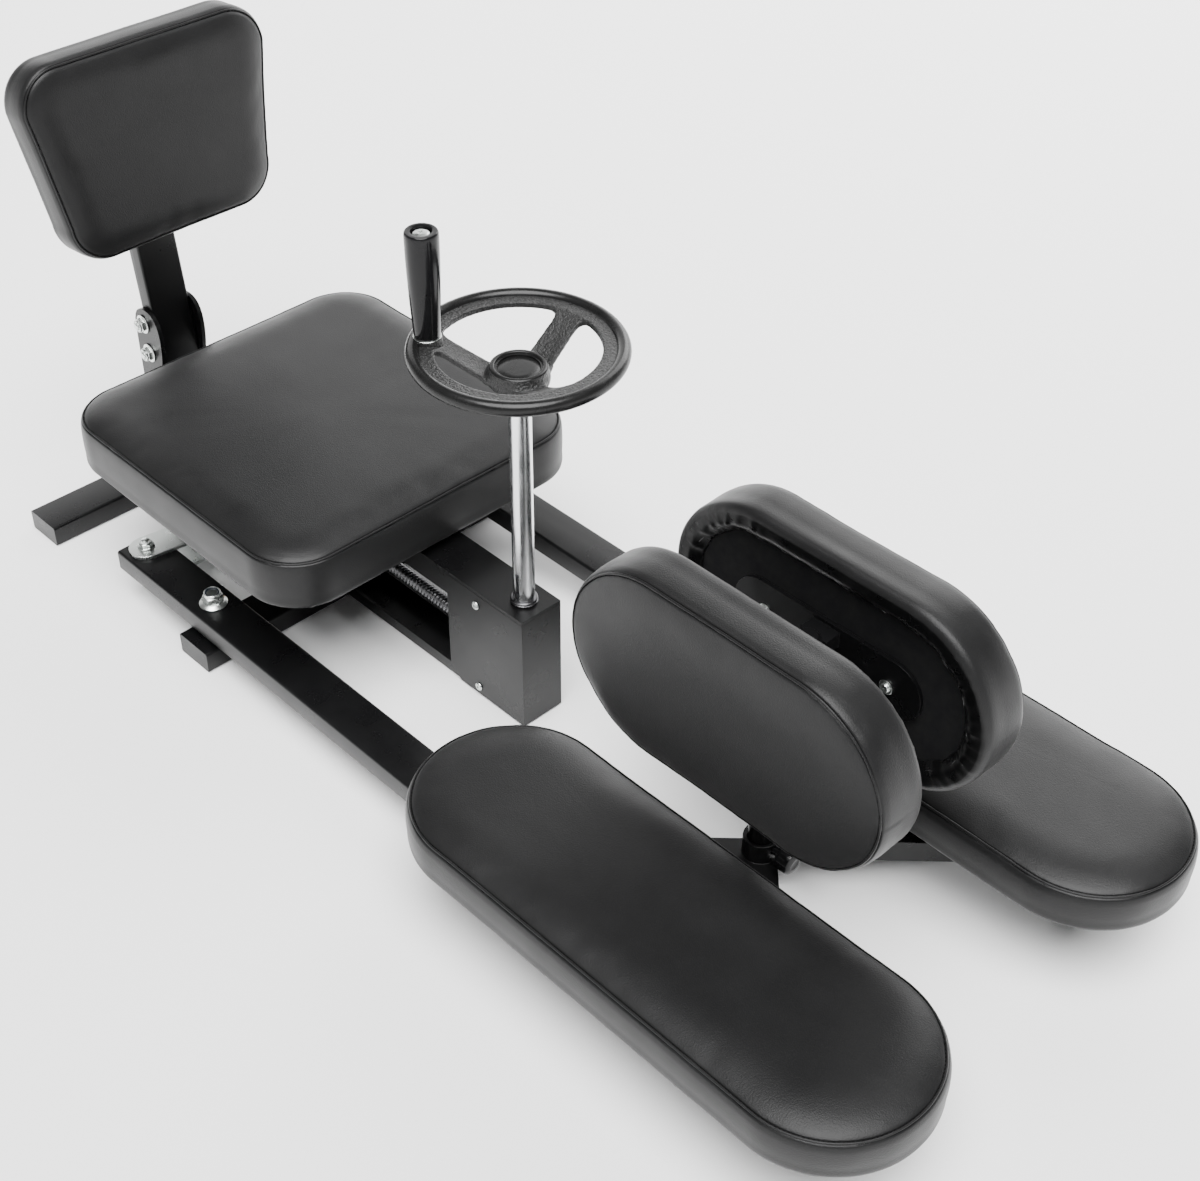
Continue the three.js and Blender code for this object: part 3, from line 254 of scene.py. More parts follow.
def close_tree(tree, laid, material, result):
    """Makes the instances of a tree real, smooth and finished in one material."""
    realize = tree.nodes.new("GeometryNodeRealizeInstances")
    tree.links.new(laid.outputs["Instances"], realize.inputs["Geometry"])
    shade = tree.nodes.new("GeometryNodeSetShadeSmooth")
    tree.links.new(realize.outputs["Geometry"], shade.inputs["Geometry"])
    coat = tree.nodes.new("GeometryNodeSetMaterial")
    coat.inputs["Material"].default_value = material
    tree.links.new(shade.outputs["Geometry"], coat.inputs["Geometry"])
    end = tree.nodes.new("NodeGroupOutput")
    tree.links.new(coat.outputs["Geometry"], end.inputs[result])
    return tree


def weld_tree():
    """Lays round drops of weld metal of uneven size along each joint."""
    tree, start, drops = open_tree("weld_bead", "Joint", (("Ripple", 0.0017), ("Size", 0.0042)), "Bead")
    nodes, links = tree.nodes, tree.links
    drop = nodes.new("GeometryNodeMeshIcoSphere")
    drop.inputs["Subdivisions"].default_value = 2
    drop.inputs["Radius"].default_value = 0.5
    links.new(drop.outputs["Mesh"], drops.inputs["Instance"])
    uneven = nodes.new("FunctionNodeRandomValue")
    uneven.data_type = "FLOAT"
    uneven.inputs[2].default_value = 0.82
    uneven.inputs[3].default_value = 1.12
    uneven.inputs["Seed"].default_value = 7
    size = nodes.new("ShaderNodeMath")
    size.operation = "MULTIPLY"
    links.new(start.outputs["Size"], size.inputs[0])
    links.new(uneven.outputs[1], size.inputs[1])
    links.new(size.outputs["Value"], drops.inputs["Scale"])
    return close_tree(tree, drops, powder, "Bead")


def path_piece(name, runs, closed, tree, body):
    """Runs a Geometry Nodes tree along some paths and keeps the result as one plain mesh."""
    curve = bpy.data.curves.new(name, "CURVE")
    curve.dimensions = "3D"
    for run in runs:
        spline = curve.splines.new("POLY")
        spline.points.add(len(run) - 1)
        spline.points.foreach_set("co", [value for point in run for value in (*point, 1)])
        spline.use_cyclic_u = closed
    piece = bpy.data.objects.new(name, curve)
    bpy.context.scene.collection.objects.link(piece)
    piece.modifiers.new("along", "NODES").node_group = tree
    bpy.context.view_layer.update()
    mesh = bpy.data.meshes.new_from_object(piece.evaluated_get(bpy.context.evaluated_depsgraph_get()))
    bpy.data.objects.remove(piece)
    laid = bpy.data.objects.new(name, mesh)
    bpy.context.scene.collection.objects.link(laid)
    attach(laid, body)
    return laid


def weld(start, stop):
    """A straight joint between two places, each given as side way, ahead and height."""
    return [floor_place(*start), floor_place(*stop)]


bead = weld_tree()
both_sides = (("right", -1), ("left", 1))
cheek, beam_side, foot_top, rail_under = 0.0303, 0.0248, 0.0258, 0.1412
rear_foot_front, pivot_foot_back, pivot_foot_front = 0.051, 0.2975, 0.3485
base_welds = []
for _, side in both_sides:
    base_welds.append(weld((side * cheek, -0.012, foot_top), (side * cheek, 0.027, foot_top)))
    base_welds.append(weld((side * 0.0245, rear_foot_front, 0.004), (side * 0.0245, rear_foot_front, 0.024)))
    for ahead in (pivot_foot_back, pivot_foot_front):
        base_welds.append(weld((side * beam_side, ahead, 0.004), (side * beam_side, ahead, 0.0245)))
    base_welds.append(weld((side * beam_side, 0.299, foot_top), (side * beam_side, 0.347, foot_top)))
    for ahead in (0.150, 0.190, 0.400, 0.440):
        base_welds.append(weld((side * 0.004, ahead, rail_under), (side * 0.0235, ahead, rail_under)))
path_piece("base_welds", base_welds, False, bead, "base")
arm_line, arm_inner_side, arm_top, riser_half = 0.1763, 0.1510, 0.0596, 0.021
bracket_middle, strut_reach, strut_half, strut_low, strut_high = 0.954, 0.1315, 0.0215, 0.0345, 0.0585
for label, side in both_sides:
    inner = side * arm_inner_side
    runs = []
    for strut in (-1, 1):
        near = bracket_middle + strut * (strut_reach - strut_half)
        far = bracket_middle + strut * (strut_reach + strut_half)
        for height in (strut_low, strut_high):
            runs.append(weld((inner, near, height), (inner, far, height)))
        for ahead in (near, far):
            runs.append(weld((inner, ahead, strut_low), (inner, ahead, strut_high)))
    for ahead in (0.850, 0.880, 1.080, 1.110):
        runs.append(weld((side * arm_line - riser_half, ahead, arm_top),
                         (side * arm_line + riser_half, ahead, arm_top)))
    path_piece(f"{label}_arm_welds", runs, False, bead, f"{label}_arm")

# Link plates, roller forks and arm bolts: bright zinc-plated steel, a little cloudy. Nuts are hexagons
# with a turned chamfer, and the lock nuts of the arm pivots have a crown with a dark nylon ring.
zinc = finish("zinc_plate", (0.66, 0.69, 0.67), (0.78, 0.81, 0.79), tone=40, rough=0.3, spread=0.05, grain=700,
              depth=0.000012, metal=1.0)
nylon = finish("nylon_ring", (0.006, 0.009, 0.014), (0.012, 0.017, 0.026), tone=90, rough=0.4, spread=0.05,
               grain=700, depth=0.00004)
for node in ("link_upper_", "link_lower_", "carriage_pin_", "roller_fork_"):
    for label, _ in both_sides:
        dress(node + label, zinc, 0.0006, 3)
mm = 0.001


def turn_shell(shape, rings, place, steps=48, loop=False):
    """A turned shell in millimetres. A ring is a radius and a height, or gives them for an angle."""
    rows = []
    for ring in rings:
        row = []
        for step in range(steps):
            angle = 2 * math.pi * step / steps
            radius, height = ring(angle) if callable(ring) else ring
            spot = Vector((radius * math.cos(angle) * mm, radius * math.sin(angle) * mm, height * mm))
            row.append(shape.verts.new(place @ spot))
        rows.append(row)
    pairs = list(zip(rows, rows[1:])) + ([(rows[-1], rows[0])] if loop else [])
    made = [shape.faces.new((low[step - 1], low[step], high[step], high[step - 1]))
            for low, high in pairs for step in range(steps)]
    if not loop:
        made += [shape.faces.new(rows[0]), shape.faces.new(rows[-1])]
    bmesh.ops.recalc_face_normals(shape, faces=made)


def hexagon(flats, height, cone=None):
    """A ring with six flats. With a cone's radius, its corners drop as a nut's chamfer does."""
    chamfer = 0.62

    def ring(angle):
        """The radius and the height of the ring at an angle."""
        radius = flats / 2 / math.cos((angle + math.pi / 6) % (math.pi / 3) - math.pi / 6)
        return radius, height - (max(0.0, radius - cone) * chamfer if cone else 0)
    return ring


def bolt_piece(name, node, shells, body, material, steps=48):
    """One piece of hardware from turned shells, standing for its CAD node."""
    shape = bmesh.new()
    for rings, place in shells:
        turn_shell(shape, rings, place, steps)
    piece = settle(shape, name, material, body, smooth=28)
    if node:
        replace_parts(piece, node)
    return piece


pivot_ahead, crank_ahead = 0.319, 0.194
for label, side in both_sides:
    stand = Matrix.Translation(floor_place(side * arm_line, pivot_ahead, 0))
    spacer = [(14.4, 25.3), (15, 25.9), (15, 33.1), (14.4, 33.7)]
    shank = [(5.7, 2.8), (6, 3.2), (6, 72.4)]
    nut = [(14.5, 59.3), (15, 59.7), (15, 60.7), (14.3, 61.3), (11.9, 62.7), (11.2, 63.4), hexagon(19, 63.4),
           hexagon(19, 70.9, 9.2), (9.2, 70.9), (9.15, 71.2), (9.15, 73.4), (8.9, 74.3), (8.4, 74.8),
           (7.9, 74.8), (7.6, 74.4), (7.5, 73.2)]
    bolt_piece(f"pivot_bolt_{label}_turned", f"pivot_bolt_{label}",
               [(spacer, stand), (shank, stand), (nut, stand)], "base", zinc)
    ring = [(7.5, 72.6), (7.5, 74.0), (6.9, 74.3), (6.2, 74.0), (6.0, 73.4), (5.9, 72.9)]
    bolt_piece(f"nylon_ring_{label}", None, [(ring, stand)], "base", nylon)
    crank = Matrix.Translation(floor_place(side * arm_line, crank_ahead, 0))
    washer = [(8.6, 64.0), (9.2, 64.3), (9.2, 65.1), (8.6, 65.4), (6.0, 65.4)]
    head = [hexagon(13, 65.4), hexagon(13, 70.0, 6.2), (6.2, 70.0), (5.2, 70.0), (5.1, 71.2), (4.4, 72.4),
            (3.0, 73.2), (1.2, 73.5)]
    bolt_piece(f"link_bolt_{label}_turned", f"link_bolt_{label}",
               [([(5, 59.3), (5, 66)], crank), (washer, crank), (head, crank)], f"link_{label}", zinc)

# Cover screws: two zinc-plated button heads with a hexagon socket, one above the other on the user's
# right, which hold the folded sheet cover to the front end of the beam.
for name, height in (("lower", 0.012), ("upper", 0.1218)):
    aim = Matrix.Translation(floor_place(0, 0.570, height)) @ Matrix.Rotation(-math.pi / 2, 4, "Y")
    head = [(2.2, 22), (2.2, 26.3), (4.5, 26.3), (4.7, 26.6), (4.6, 27.2), (4.1, 27.9), (3.2, 28.4), (2.2, 28.55),
            (1.9, 28.5), hexagon(3.2, 28.4), hexagon(3.1, 27.0)]
    bolt_piece(f"cover_screw_{name}_turned", f"cover_screw_{name}", [(head, aim)], "base", zinc)

# Backrest bolts: two zinc-plated bolts through the cheeks and the leaning post, with a washer and a
# lock nut at both ends.
lean = Matrix.Translation((0, length_to_origin - 0.0168, 0.125)) @ Matrix.Rotation(math.radians(-6.6), 4, "X")
post_length, behind_middle = 0.315, 0.005
for name, share in (("lower", 0.12), ("upper", 0.237)):
    hole = lean @ Matrix.Translation((0, behind_middle, share * post_length))
    shells = [([(4, -32), (4, 32)], hole @ Matrix.Rotation(math.pi / 2, 4, "Y"))]
    for _, side in both_sides:
        aim = (hole @ Matrix.Rotation(side * math.pi / 2, 4, "Y")
               @ Matrix.Rotation(0.35 + share, 4, "Z"))
        shells.append(([(10.4, 30.6), (11, 30.9), (11, 31.9), (10.4, 32.2), (7, 32.2)], aim))
        shells.append(([hexagon(15.4, 32.2), hexagon(15.4, 37.0, 7.3), (7.3, 37.0), (7.2, 38.6), (6.7, 39.2),
                        (6.0, 39.2), (5.6, 38.6), (4.4, 38.4), (4.2, 40.2), (3.4, 40.9)], aim))
    bolt_piece(f"backrest_bolt_{name}_turned", f"backrest_bolt_{name}", shells, "base", zinc)

# Handle screw: a long shouldered screw of zinc-plated steel, whose crossed head sits in the end of
# the grip. Its foot is screwed into a boss at the edge of the handwheel's web.
handle_turn, handle_reach = math.radians(128), 0.0828
wheel_middle = floor_place(0, 0.6141, 0)
handle_spot = wheel_middle + handle_reach * Vector((math.cos(handle_turn), math.sin(handle_turn), 0))
handle_stand = Matrix.Translation(handle_spot)


def crossed(wide, height):
    """A ring in the shape of a cross, for the recess of a screw head."""
    return lambda angle: (0.7 + wide * abs(math.cos(2 * angle)) ** 5, height)


screw_head = [(4, 428.5), (4, 539.4), (7.4, 539.6), (7.9, 540.1), (7.9, 541.3), (7.2, 542.4), (5.6, 543.0),
              (3.6, 543.15), crossed(2.3, 543.1), crossed(1.3, 541.4)]
bolt_piece("handle_screw_turned", "handle_screw", [(screw_head, handle_stand @ Matrix.Rotation(0.5, 4, "Z"))],
           "steering_wheel", zinc)

# Pad screws: zinc-plated pan heads with a crossed recess, on washers. They hold the plates of the
# backrest and the inner pads, and the seat rails, to the boards of the cushions.
def pad_screws(name, spots, body):
    """One piece with a screw and its washer at each place."""
    shape = bmesh.new()
    for spot in spots:
        turn_shell(shape, [(6.6, 0), (7.1, 0.3), (7.1, 1.1), (6.7, 1.4), (3.6, 1.4)], spot, 40)
        turn_shell(shape, [(4.4, 1.4), (4.6, 1.8), (4.5, 2.8), (3.9, 3.6), (2.8, 4.0), (2.3, 4.05),
                           crossed(1.2, 4.0), crossed(0.8, 2.8)], spot, 40)
    return settle(shape, name, zinc, body, smooth=28)


for label, side in both_sides:
    face = Matrix.Rotation(-side * math.pi / 2, 4, "Y")
    pad_screws(f"{label}_pad_screws",
               [Matrix.Translation(floor_place(side * 0.0439, bracket_middle + along, 0.267)) @ face
                @ Matrix.Rotation(0.3 + along, 4, "Z") for along in (-0.069, 0.069)], f"{label}_side_pad")
away = Matrix.Rotation(-math.pi / 2, 4, "X")
pad_screws("back_pad_screws", [lean @ Matrix.Translation((x, -0.0238, z)) @ away for x in (-0.06, 0.06)
                               for z in (0.278, 0.338)], "base")
down = Matrix.Rotation(math.pi, 4, "X")
pad_screws("seat_pad_screws", [Matrix.Translation(floor_place(x, ahead + 0.02, 0.1407)) @ down
                               for x in (-0.095, 0.095) for ahead in (0.150, 0.400)], "base")

# Steering gear inside the beam: machined steel, lightly oiled, and a bronze nut. The lead screw has
# a true single thread of 5 mm pitch, the travel of the carriage in one turn.
oiled = finish("oiled_steel", (0.1, 0.1, 0.105), (0.19, 0.19, 0.195), tone=60, rough=0.3, spread=0.08, grain=700,
               depth=0.00005, metal=1.0)
bronze = finish("nut_bronze", (0.33, 0.21, 0.08), (0.45, 0.3, 0.13), tone=50, rough=0.36, spread=0.08, grain=800,
                depth=0.00005, metal=1.0)
for node in ("screw_bearing_rear", "screw_bearing_front", "input_bevel_gear", "output_bevel_gear"):
    dress(node, oiled, 0.0004)
dress("nut_carriage", bronze, 0.0006)


def thread_ring(distance):
    """A ring across the thread, whose crest is at another angle at each distance along the screw."""
    pitch, core, tooth = 5, 6.6, 1.4

    def ring(angle):
        """The radius and the distance of the ring at an angle."""
        phase = (distance / pitch + angle / (2 * math.pi)) % 1
        rise = min(max((0.5 - abs(phase - 0.5) - 0.12) / 0.16, 0), 1)
        return core + tooth * rise, distance
    return ring


shape = bmesh.new()
along_beam = Matrix.Translation(floor_place(0, 0.1684, 0.060)) @ Matrix.Rotation(math.pi / 2, 4, "X")
thread_start, thread_step, thread_steps = 12.6, 0.5, 743
threads = [thread_ring(thread_start + thread_step * step) for step in range(thread_steps)]
turn_shell(shape, [(5.6, 0.4), (6, 0.9), (6, 12.3), (6.6, 12.5)] + threads
           + [(6.6, 384.2), (6, 384.4), (6, 418.2), (8.6, 418.4), (9, 418.8), (9, 421), (8.6, 421.4), (6, 421.4),
              (6, 434.9), (5.6, 435.4)], along_beam, 24)
screw = settle(shape, "lead_screw_threaded", oiled, frame["nodes"]["lead_screw"]["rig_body"], smooth=50)
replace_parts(screw, "lead_screw")

# Column bush: a dark steel ring with a groove and a rounded lip, turned in one piece and pressed into
# the roof of the beam, where it carries the foot of the steering column.
shape = bmesh.new()
column = Matrix.Translation(wheel_middle)
turn_shell(shape, [(7.3, 131.5), (13, 131.5), (13, 140.8), (13.6, 140.8), (14, 141.2), (14, 142.6), (13.3, 143),
                   (13.3, 143.6), (13.8, 144), (13.6, 145), (12.8, 145.8), (7.3, 145.8)], column, 56,
           loop=True)
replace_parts(settle(shape, "shaft_bush_turned", oiled, "base", smooth=28), "shaft_bush")

# Steering column: a bright chromed tube with a keyway milled in its foot. Under the hub of the wheel
# a chromed cone is held on it by a small set screw.
chrome = finish("chrome_plate", (0.8, 0.81, 0.82), (0.88, 0.89, 0.9), tone=20, rough=0.22, spread=0.05, grain=500,
                depth=0.00001, metal=1.0)


def crease(piece, angle=28):
    """Marks the sharp edges that a cut leaves."""
    shape = bmesh.new()
    shape.from_mesh(piece.data)
    for face in shape.faces:
        face.smooth = True
    for edge in shape.edges:
        edge.smooth = len(edge.link_faces) == 2 and edge.calc_face_angle(0) < math.radians(angle)
    shape.to_mesh(piece.data)
    shape.free()


shape = bmesh.new()
turn_shell(shape, [(7.3, 188), (7.3, 146.4), (7.6, 146.1), (10.7, 146.1), (11, 146.4), (11, 409.6), (10.6, 410),
                   (3, 410), (3, 188)], column, 72, loop=True)
tube = settle(shape, "steering_tube_slotted", chrome, "steering_wheel")
key = bmesh.new()
swing = column @ Matrix.Rotation(math.radians(-168), 4, "Z")
bmesh.ops.create_cube(key, size=1, matrix=swing @ Matrix.Translation((0.012, 0, 0.1605))
                      @ Matrix.Diagonal((0.016, 0.0038, 0.035, 1)))
bmesh.ops.create_cone(key, cap_ends=True, segments=24, radius1=0.0026, radius2=0.0026, depth=0.016,
                      matrix=swing @ Matrix.Translation((0.012, 0, 0.178)) @ Matrix.Rotation(math.pi / 2, 4, "Y"))
key_mesh = bpy.data.meshes.new("key")
key.to_mesh(key_mesh)
key.free()
cutter = bpy.data.objects.new("key", key_mesh)
bpy.context.scene.collection.objects.link(cutter)
slot = tube.modifiers.new("keyway", "BOOLEAN")
slot.operation = "DIFFERENCE"
slot.solver = "EXACT"
slot.use_self = True
slot.object = cutter
bake(tube)
bpy.data.objects.remove(cutter)
crease(tube)
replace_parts(tube, "steering_tube")
shape = bmesh.new()
turn_shell(shape, [(11.3, 384.7), (12.0, 384.7), (12.4, 385.1), (15.6, 393.2), (16, 394.2), (16, 397.3),
                   (15.6, 397.7), (11.3, 397.7)], column, 72, loop=True)
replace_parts(settle(shape, "wheel_collar_turned", chrome, "steering_wheel"), "wheel_collar")
set_screw = (Matrix.Translation(wheel_middle + Vector((0, 0, 0.3955)))
             @ Matrix.Rotation(math.radians(-118), 4, "Z") @ Matrix.Rotation(math.pi / 2, 4, "Y"))
socket = [(2, 13), (2, 16.1), (1.4, 16.4), hexagon(2, 16.4), hexagon(1.9, 15.2)]
bolt_piece("collar_set_screw", None, [(socket, set_screw)], "steering_wheel", oiled, 36)

# Handwheel: an iron casting, dished, with three flat spokes. The web keeps the rough skin of the
# sand mould under its paint, and the rim and the hub's lip are turned smooth.
casting = finish("wheel_casting", (0.007, 0.007, 0.007), (0.018, 0.018, 0.018), tone=300, rough=0.33, spread=0.1,
                 grain=470, depth=0.0016, gloss=0.3)
wheel_gloss = finish("wheel_gloss_paint", (0.006, 0.006, 0.006), (0.01, 0.01, 0.01), tone=25, rough=0.25,
                     spread=0.05, grain=260, depth=0.00006, gloss=0.24)
rim_height, rim_middle, rim_radius, web_low = 432, 94.7, 7, 403
web_inner, web_outer = 29, 76


def spoke_half(radius):
    """Half the width of a spoke, which narrows a little towards the rim."""
    return 14 - 1.5 * (radius - web_inner) / (web_outer - web_inner)


def polar(radius, angle):
    """A flat point from its radius and angle."""
    return np.array((radius * math.cos(angle), radius * math.sin(angle)))


def wheel_opening(spoke):
    """The outline of the opening that follows a spoke, with rounded corners."""
    after = spoke + 2 * math.pi / 3

    def edge(way, radius):
        """The angle of the spoke's side that bounds the opening."""
        return (spoke if way > 0 else after) + way * math.asin(spoke_half(radius) / radius)

    def corner(start, bend, end, steps):
        """A curve from one side to the next, drawn towards the sharp corner."""
        shares = np.linspace(0, 1, steps + 1)[1:, None]
        return list((1 - shares) ** 2 * start + 2 * shares * (1 - shares) * bend + shares ** 2 * end)

    tight, wide = 5, 12
    rise, fall = [[polar(radius, edge(way, radius))
                   for radius in np.linspace(web_inner + tight, web_outer - wide, 12)] for way in (1, -1)]
    far = [polar(web_outer, angle) for angle in np.linspace(edge(1, web_outer) + wide / web_outer,
                                                            edge(-1, web_outer) - wide / web_outer, 26)]
    near = [polar(web_inner, angle) for angle in np.linspace(edge(-1, web_inner) - tight / web_inner,
                                                             edge(1, web_inner) + tight / web_inner, 5)]
    return (rise + corner(rise[-1], polar(web_outer, edge(1, web_outer)), far[0], 8) + far
            + corner(far[-1], polar(web_outer, edge(-1, web_outer)), fall[-1], 8) + fall[::-1]
            + corner(fall[0], polar(web_inner, edge(-1, web_inner)), near[0], 6) + near
            + corner(near[-1], polar(web_inner, edge(1, web_inner)), rise[0], 6))


outline = bpy.data.curves.new("wheel_web", "CURVE")
outline.dimensions = "2D"
outline.fill_mode = "BOTH"
outline.extrude = 3 * mm
loops = [[polar(92, 2 * math.pi * step / 120) for step in range(120)]]
loops += [wheel_opening(handle_turn + 2 * math.pi * index / 3) for index in range(3)]
for loop in loops:
    spline = outline.splines.new("POLY")
    spline.points.add(len(loop) - 1)
    spline.points.foreach_set("co", [value for x, y in loop for value in (x * mm, y * mm, 0, 1)])
    spline.use_cyclic_u = True
web = bpy.data.objects.new("wheel_web", outline)
bpy.context.scene.collection.objects.link(web)
bpy.context.view_layer.update()
flat = bpy.data.meshes.new_from_object(web.evaluated_get(bpy.context.evaluated_depsgraph_get()))
bpy.data.objects.remove(web)
web = bpy.data.objects.new("wheel_web_flat", flat)
bpy.context.scene.collection.objects.link(web)
grain = web.modifiers.new("grain", "REMESH")
grain.mode = "VOXEL"
grain.voxel_size = 0.0012
soften = web.modifiers.new("soften", "SMOOTH")
soften.factor = 0.5
soften.iterations = 5
bake(web)
shape = bmesh.new()
shape.from_mesh(web.data)
bpy.data.objects.remove(web)
for vert in shape.verts:
    radius = math.hypot(vert.co.x, vert.co.y) / mm
    share = min(max((radius - web_inner) / (web_outer - web_inner), 0), 1)
    lift = (web_low + (rim_height - web_low) * share) * mm
    vert.co = wheel_middle + Vector((vert.co.x, vert.co.y, vert.co.z + lift))


def flared(radius, height, flare):
    """A ring of the hub that spreads where it runs into a spoke."""
    def ring(angle):
        """The radius and the height of the ring at an angle."""
        off = min(abs((angle - handle_turn - 2 * math.pi * index / 3 + math.pi) % (2 * math.pi) - math.pi)
                  for index in range(3))
        share = min(max((0.72 - off) / 0.34, 0), 1)
        return radius + flare * share * share * (3 - 2 * share), height
    return ring


turn_shell(shape, [(24, 398), (27.4, 398), (28.4, 399)] + [flared(28.8, 402, 5), flared(28.8, 404.5, 6.5),
           flared(28.6, 406, 5), flared(28.2, 407.2, 3), flared(27.7, 409, 1.3), flared(27.3, 411.5, 0.4),
           (27, 414.6), (26.6, 415), (22.2, 415), (21.8, 414.4), (21.8, 410.4)], column, 96)
turn_shell(shape, [(12, 428.6), (14.5, 430), (14, 434), (13.3, 437), (13, 438.4), (12.3, 439)], handle_stand, 48)
piece = settle(shape, "handwheel_casting", casting, "steering_wheel", smooth=60)
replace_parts(piece, "handwheel")
shape = bmesh.new()
section = [2 * math.pi * step / 30 for step in range(30)]
turn_shell(shape, [(rim_middle + rim_radius * math.cos(angle), rim_height + rim_radius * math.sin(angle))
                   for angle in section], column, 180, loop=True)
turn_shell(shape, [(20, 411.6), (21.2, 411.6), (21.6, 412), (21.9, 415.2), (22.4, 415.9), (23.2, 416.1),
                   (25.2, 416), (26.4, 415.5), (26.9, 414.6), (26.6, 414), (20, 414)], column, 96, loop=True)
turn_shell(shape, [(21.3, 411), (21.3, 411.9), (20.6, 412.3), (12, 412.5), (4, 412.5)], column, 72)
settle(shape, "handwheel_rim", wheel_gloss, "steering_wheel", smooth=50)

# Grip: a turned barrel of gloss black plastic, thicker towards its top, with a recess for the head of
# the screw that it spins on. A thin bright washer lies between it and the rim.
gloss_black = finish("gloss_black_plastic", (0.005, 0.005, 0.0055), (0.008, 0.008, 0.0085), tone=12, rough=0.14,
                     spread=0.03, grain=300, depth=0.00002, gloss=0.2)
shape = bmesh.new()
barrel = [(12.2 + 3.4 * math.sin(share * math.pi / 2), 441.3 + 97 * share) for share in np.linspace(0, 1, 15)]
turn_shell(shape, [(4.5, 439.3), (11.2, 439.3), (11.8, 439.6), (12.1, 440.3)] + barrel
           + [(15.55, 541), (15.3, 542.6), (14.8, 543.7), (14.1, 544.25), (13.2, 544.3), (10.4, 544.3),
              (9.8, 544.1), (9.5, 543.5), (9.5, 539.35), (4.5, 539.35)], handle_stand, 80, loop=True)
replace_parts(settle(shape, "handle_grip_turned", gloss_black, "grip"), "handle_grip")
washer = [(4.6, 438.95), (12.9, 438.95), (13.1, 439.1), (12.9, 439.25), (4.6, 439.25)]
bolt_piece("handle_washer", None, [(washer, handle_stand)], "steering_wheel", zinc, 64)


# Clamp knobs and floor rollers: hard black plastic. A knob has shallow flutes, and its stem presses
# on the post inside the sleeve. A roller has a ribbed face and turns on the axle of its fork.
def fluted(radius, height, depth):
    """A ring with ten shallow flutes."""
    return lambda angle: (radius - depth * (0.5 + 0.5 * math.cos(10 * angle)) ** 2, height)


for label, side in both_sides:
    facing = Matrix.Translation(floor_place(side * 0.0195, 0, 0.072)) @ Matrix.Rotation(math.pi / 2, 4, "X")
    shape = bmesh.new()
    turn_shell(shape, [(4, 966.9), (4, 977.6), (7.2, 978), (9.6, 978.8), fluted(11.6, 979.3, 0.3),
                       fluted(12.3, 980.4, 0.7), fluted(12.4, 983, 1), fluted(12.4, 989, 1),
                       fluted(12.1, 991.6, 0.8), fluted(11.2, 993.4, 0.4), (9.2, 994.6), (6, 995), (5.4, 994.6),
                       (1.2, 994.4)], facing, 60)
    knob = settle(shape, f"knob_{label}_fluted", gloss_black, f"{label}_knob")
    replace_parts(knob, f"knob_{label}")
    facing = Matrix.Translation(floor_place(side * arm_line, 0, 0.013)) @ Matrix.Rotation(math.pi / 2, 4, "X")
    shape = bmesh.new()
    turn_shell(shape, [(3.2, 1163.2), (6, 1163), (6.4, 1163.8), (9.6, 1163.8), (10, 1163), (11.6, 1163),
                       (12.6, 1163.5), (13, 1164.6), (13, 1175.4), (12.6, 1176.5), (11.6, 1177), (10, 1177),
                       (9.6, 1176.2), (6.4, 1176.2), (6, 1177), (3.2, 1176.8)], facing, 60, loop=True)
    roller = settle(shape, f"roller_{label}_turned", gloss_black, f"{label}_roller")
    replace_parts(roller, f"roller_{label}")

# Boards: plywood cut to the outline of each cushion and covered with thin black cloth, which closes
# the cushion's back. The cushion's cover is stapled round its edge.
backing = finish("backing_cloth", (0.005, 0.005, 0.006), (0.009, 0.009, 0.009), tone=60, rough=0.9, spread=0.05,
                 grain=1800, depth=0.0002, gloss=0.15)
for node in ("seat_board", "back_board", "side_board_right", "side_board_left", "leg_board_right",
             "leg_board_left"):
    dress(node, backing, 0.0008)

# Cushions: firm foam on a board, covered in matt black vinyl. A top panel is sewn to a side band,
# with the seam at the edge, and the band is turned in under the board and stapled in small pleats.
# A cloth simulation presses the cover out as the foam does.
vinyl = finish("matt_vinyl", (0.0042, 0.0042, 0.0044), (0.0062, 0.0062, 0.0064), tone=7, rough=0.41, spread=0.04,
               grain=1300, depth=0.0001, gloss=0.22)
vinyl_nodes, vinyl_links = vinyl.node_tree.nodes, vinyl.node_tree.links
vinyl_shader = vinyl_nodes["Principled BSDF"]
vinyl_shader.inputs["Sheen Weight"].default_value = 0.05
vinyl_shader.inputs["Sheen Roughness"].default_value = 0.5
pores = vinyl_nodes.new("ShaderNodeTexVoronoi")
pores.feature = "SMOOTH_F1"
pores.inputs["Scale"].default_value = 850
vinyl_place = next(node for node in vinyl_nodes if node.type == "TEX_COORD")
vinyl_links.new(vinyl_place.outputs["Object"], pores.inputs["Vector"])
grain_bump = vinyl_nodes.new("ShaderNodeBump")
grain_bump.inputs["Distance"].default_value = 0.00012
vinyl_links.new(pores.outputs["Distance"], grain_bump.inputs["Height"])
fine_bump = next(node for node in vinyl_nodes if node.type == "BUMP" and node != grain_bump)
vinyl_links.new(fine_bump.outputs["Normal"], grain_bump.inputs["Normal"])
vinyl_links.new(grain_bump.outputs["Normal"], vinyl_shader.inputs["Normal"])
# Painted shade: a darker copy of the same vinyl, put on the band turned in under the board, on the faces of the
# seam's two grooves and on the underside, where shade falls.
painted_shade_vinyl = finish("turned_in_vinyl_painted_shade", (0.0022, 0.0022, 0.0023), (0.0036, 0.0036, 0.0038), tone=30, rough=0.3,
                   spread=0.05, grain=1300, depth=0.0001, gloss=0.2)
staple_wire = finish("staple_wire", (0.1, 0.1, 0.1), (0.16, 0.16, 0.16), tone=200, rough=0.35, spread=0.1,
                     grain=2000, depth=0.00002, metal=1.0)
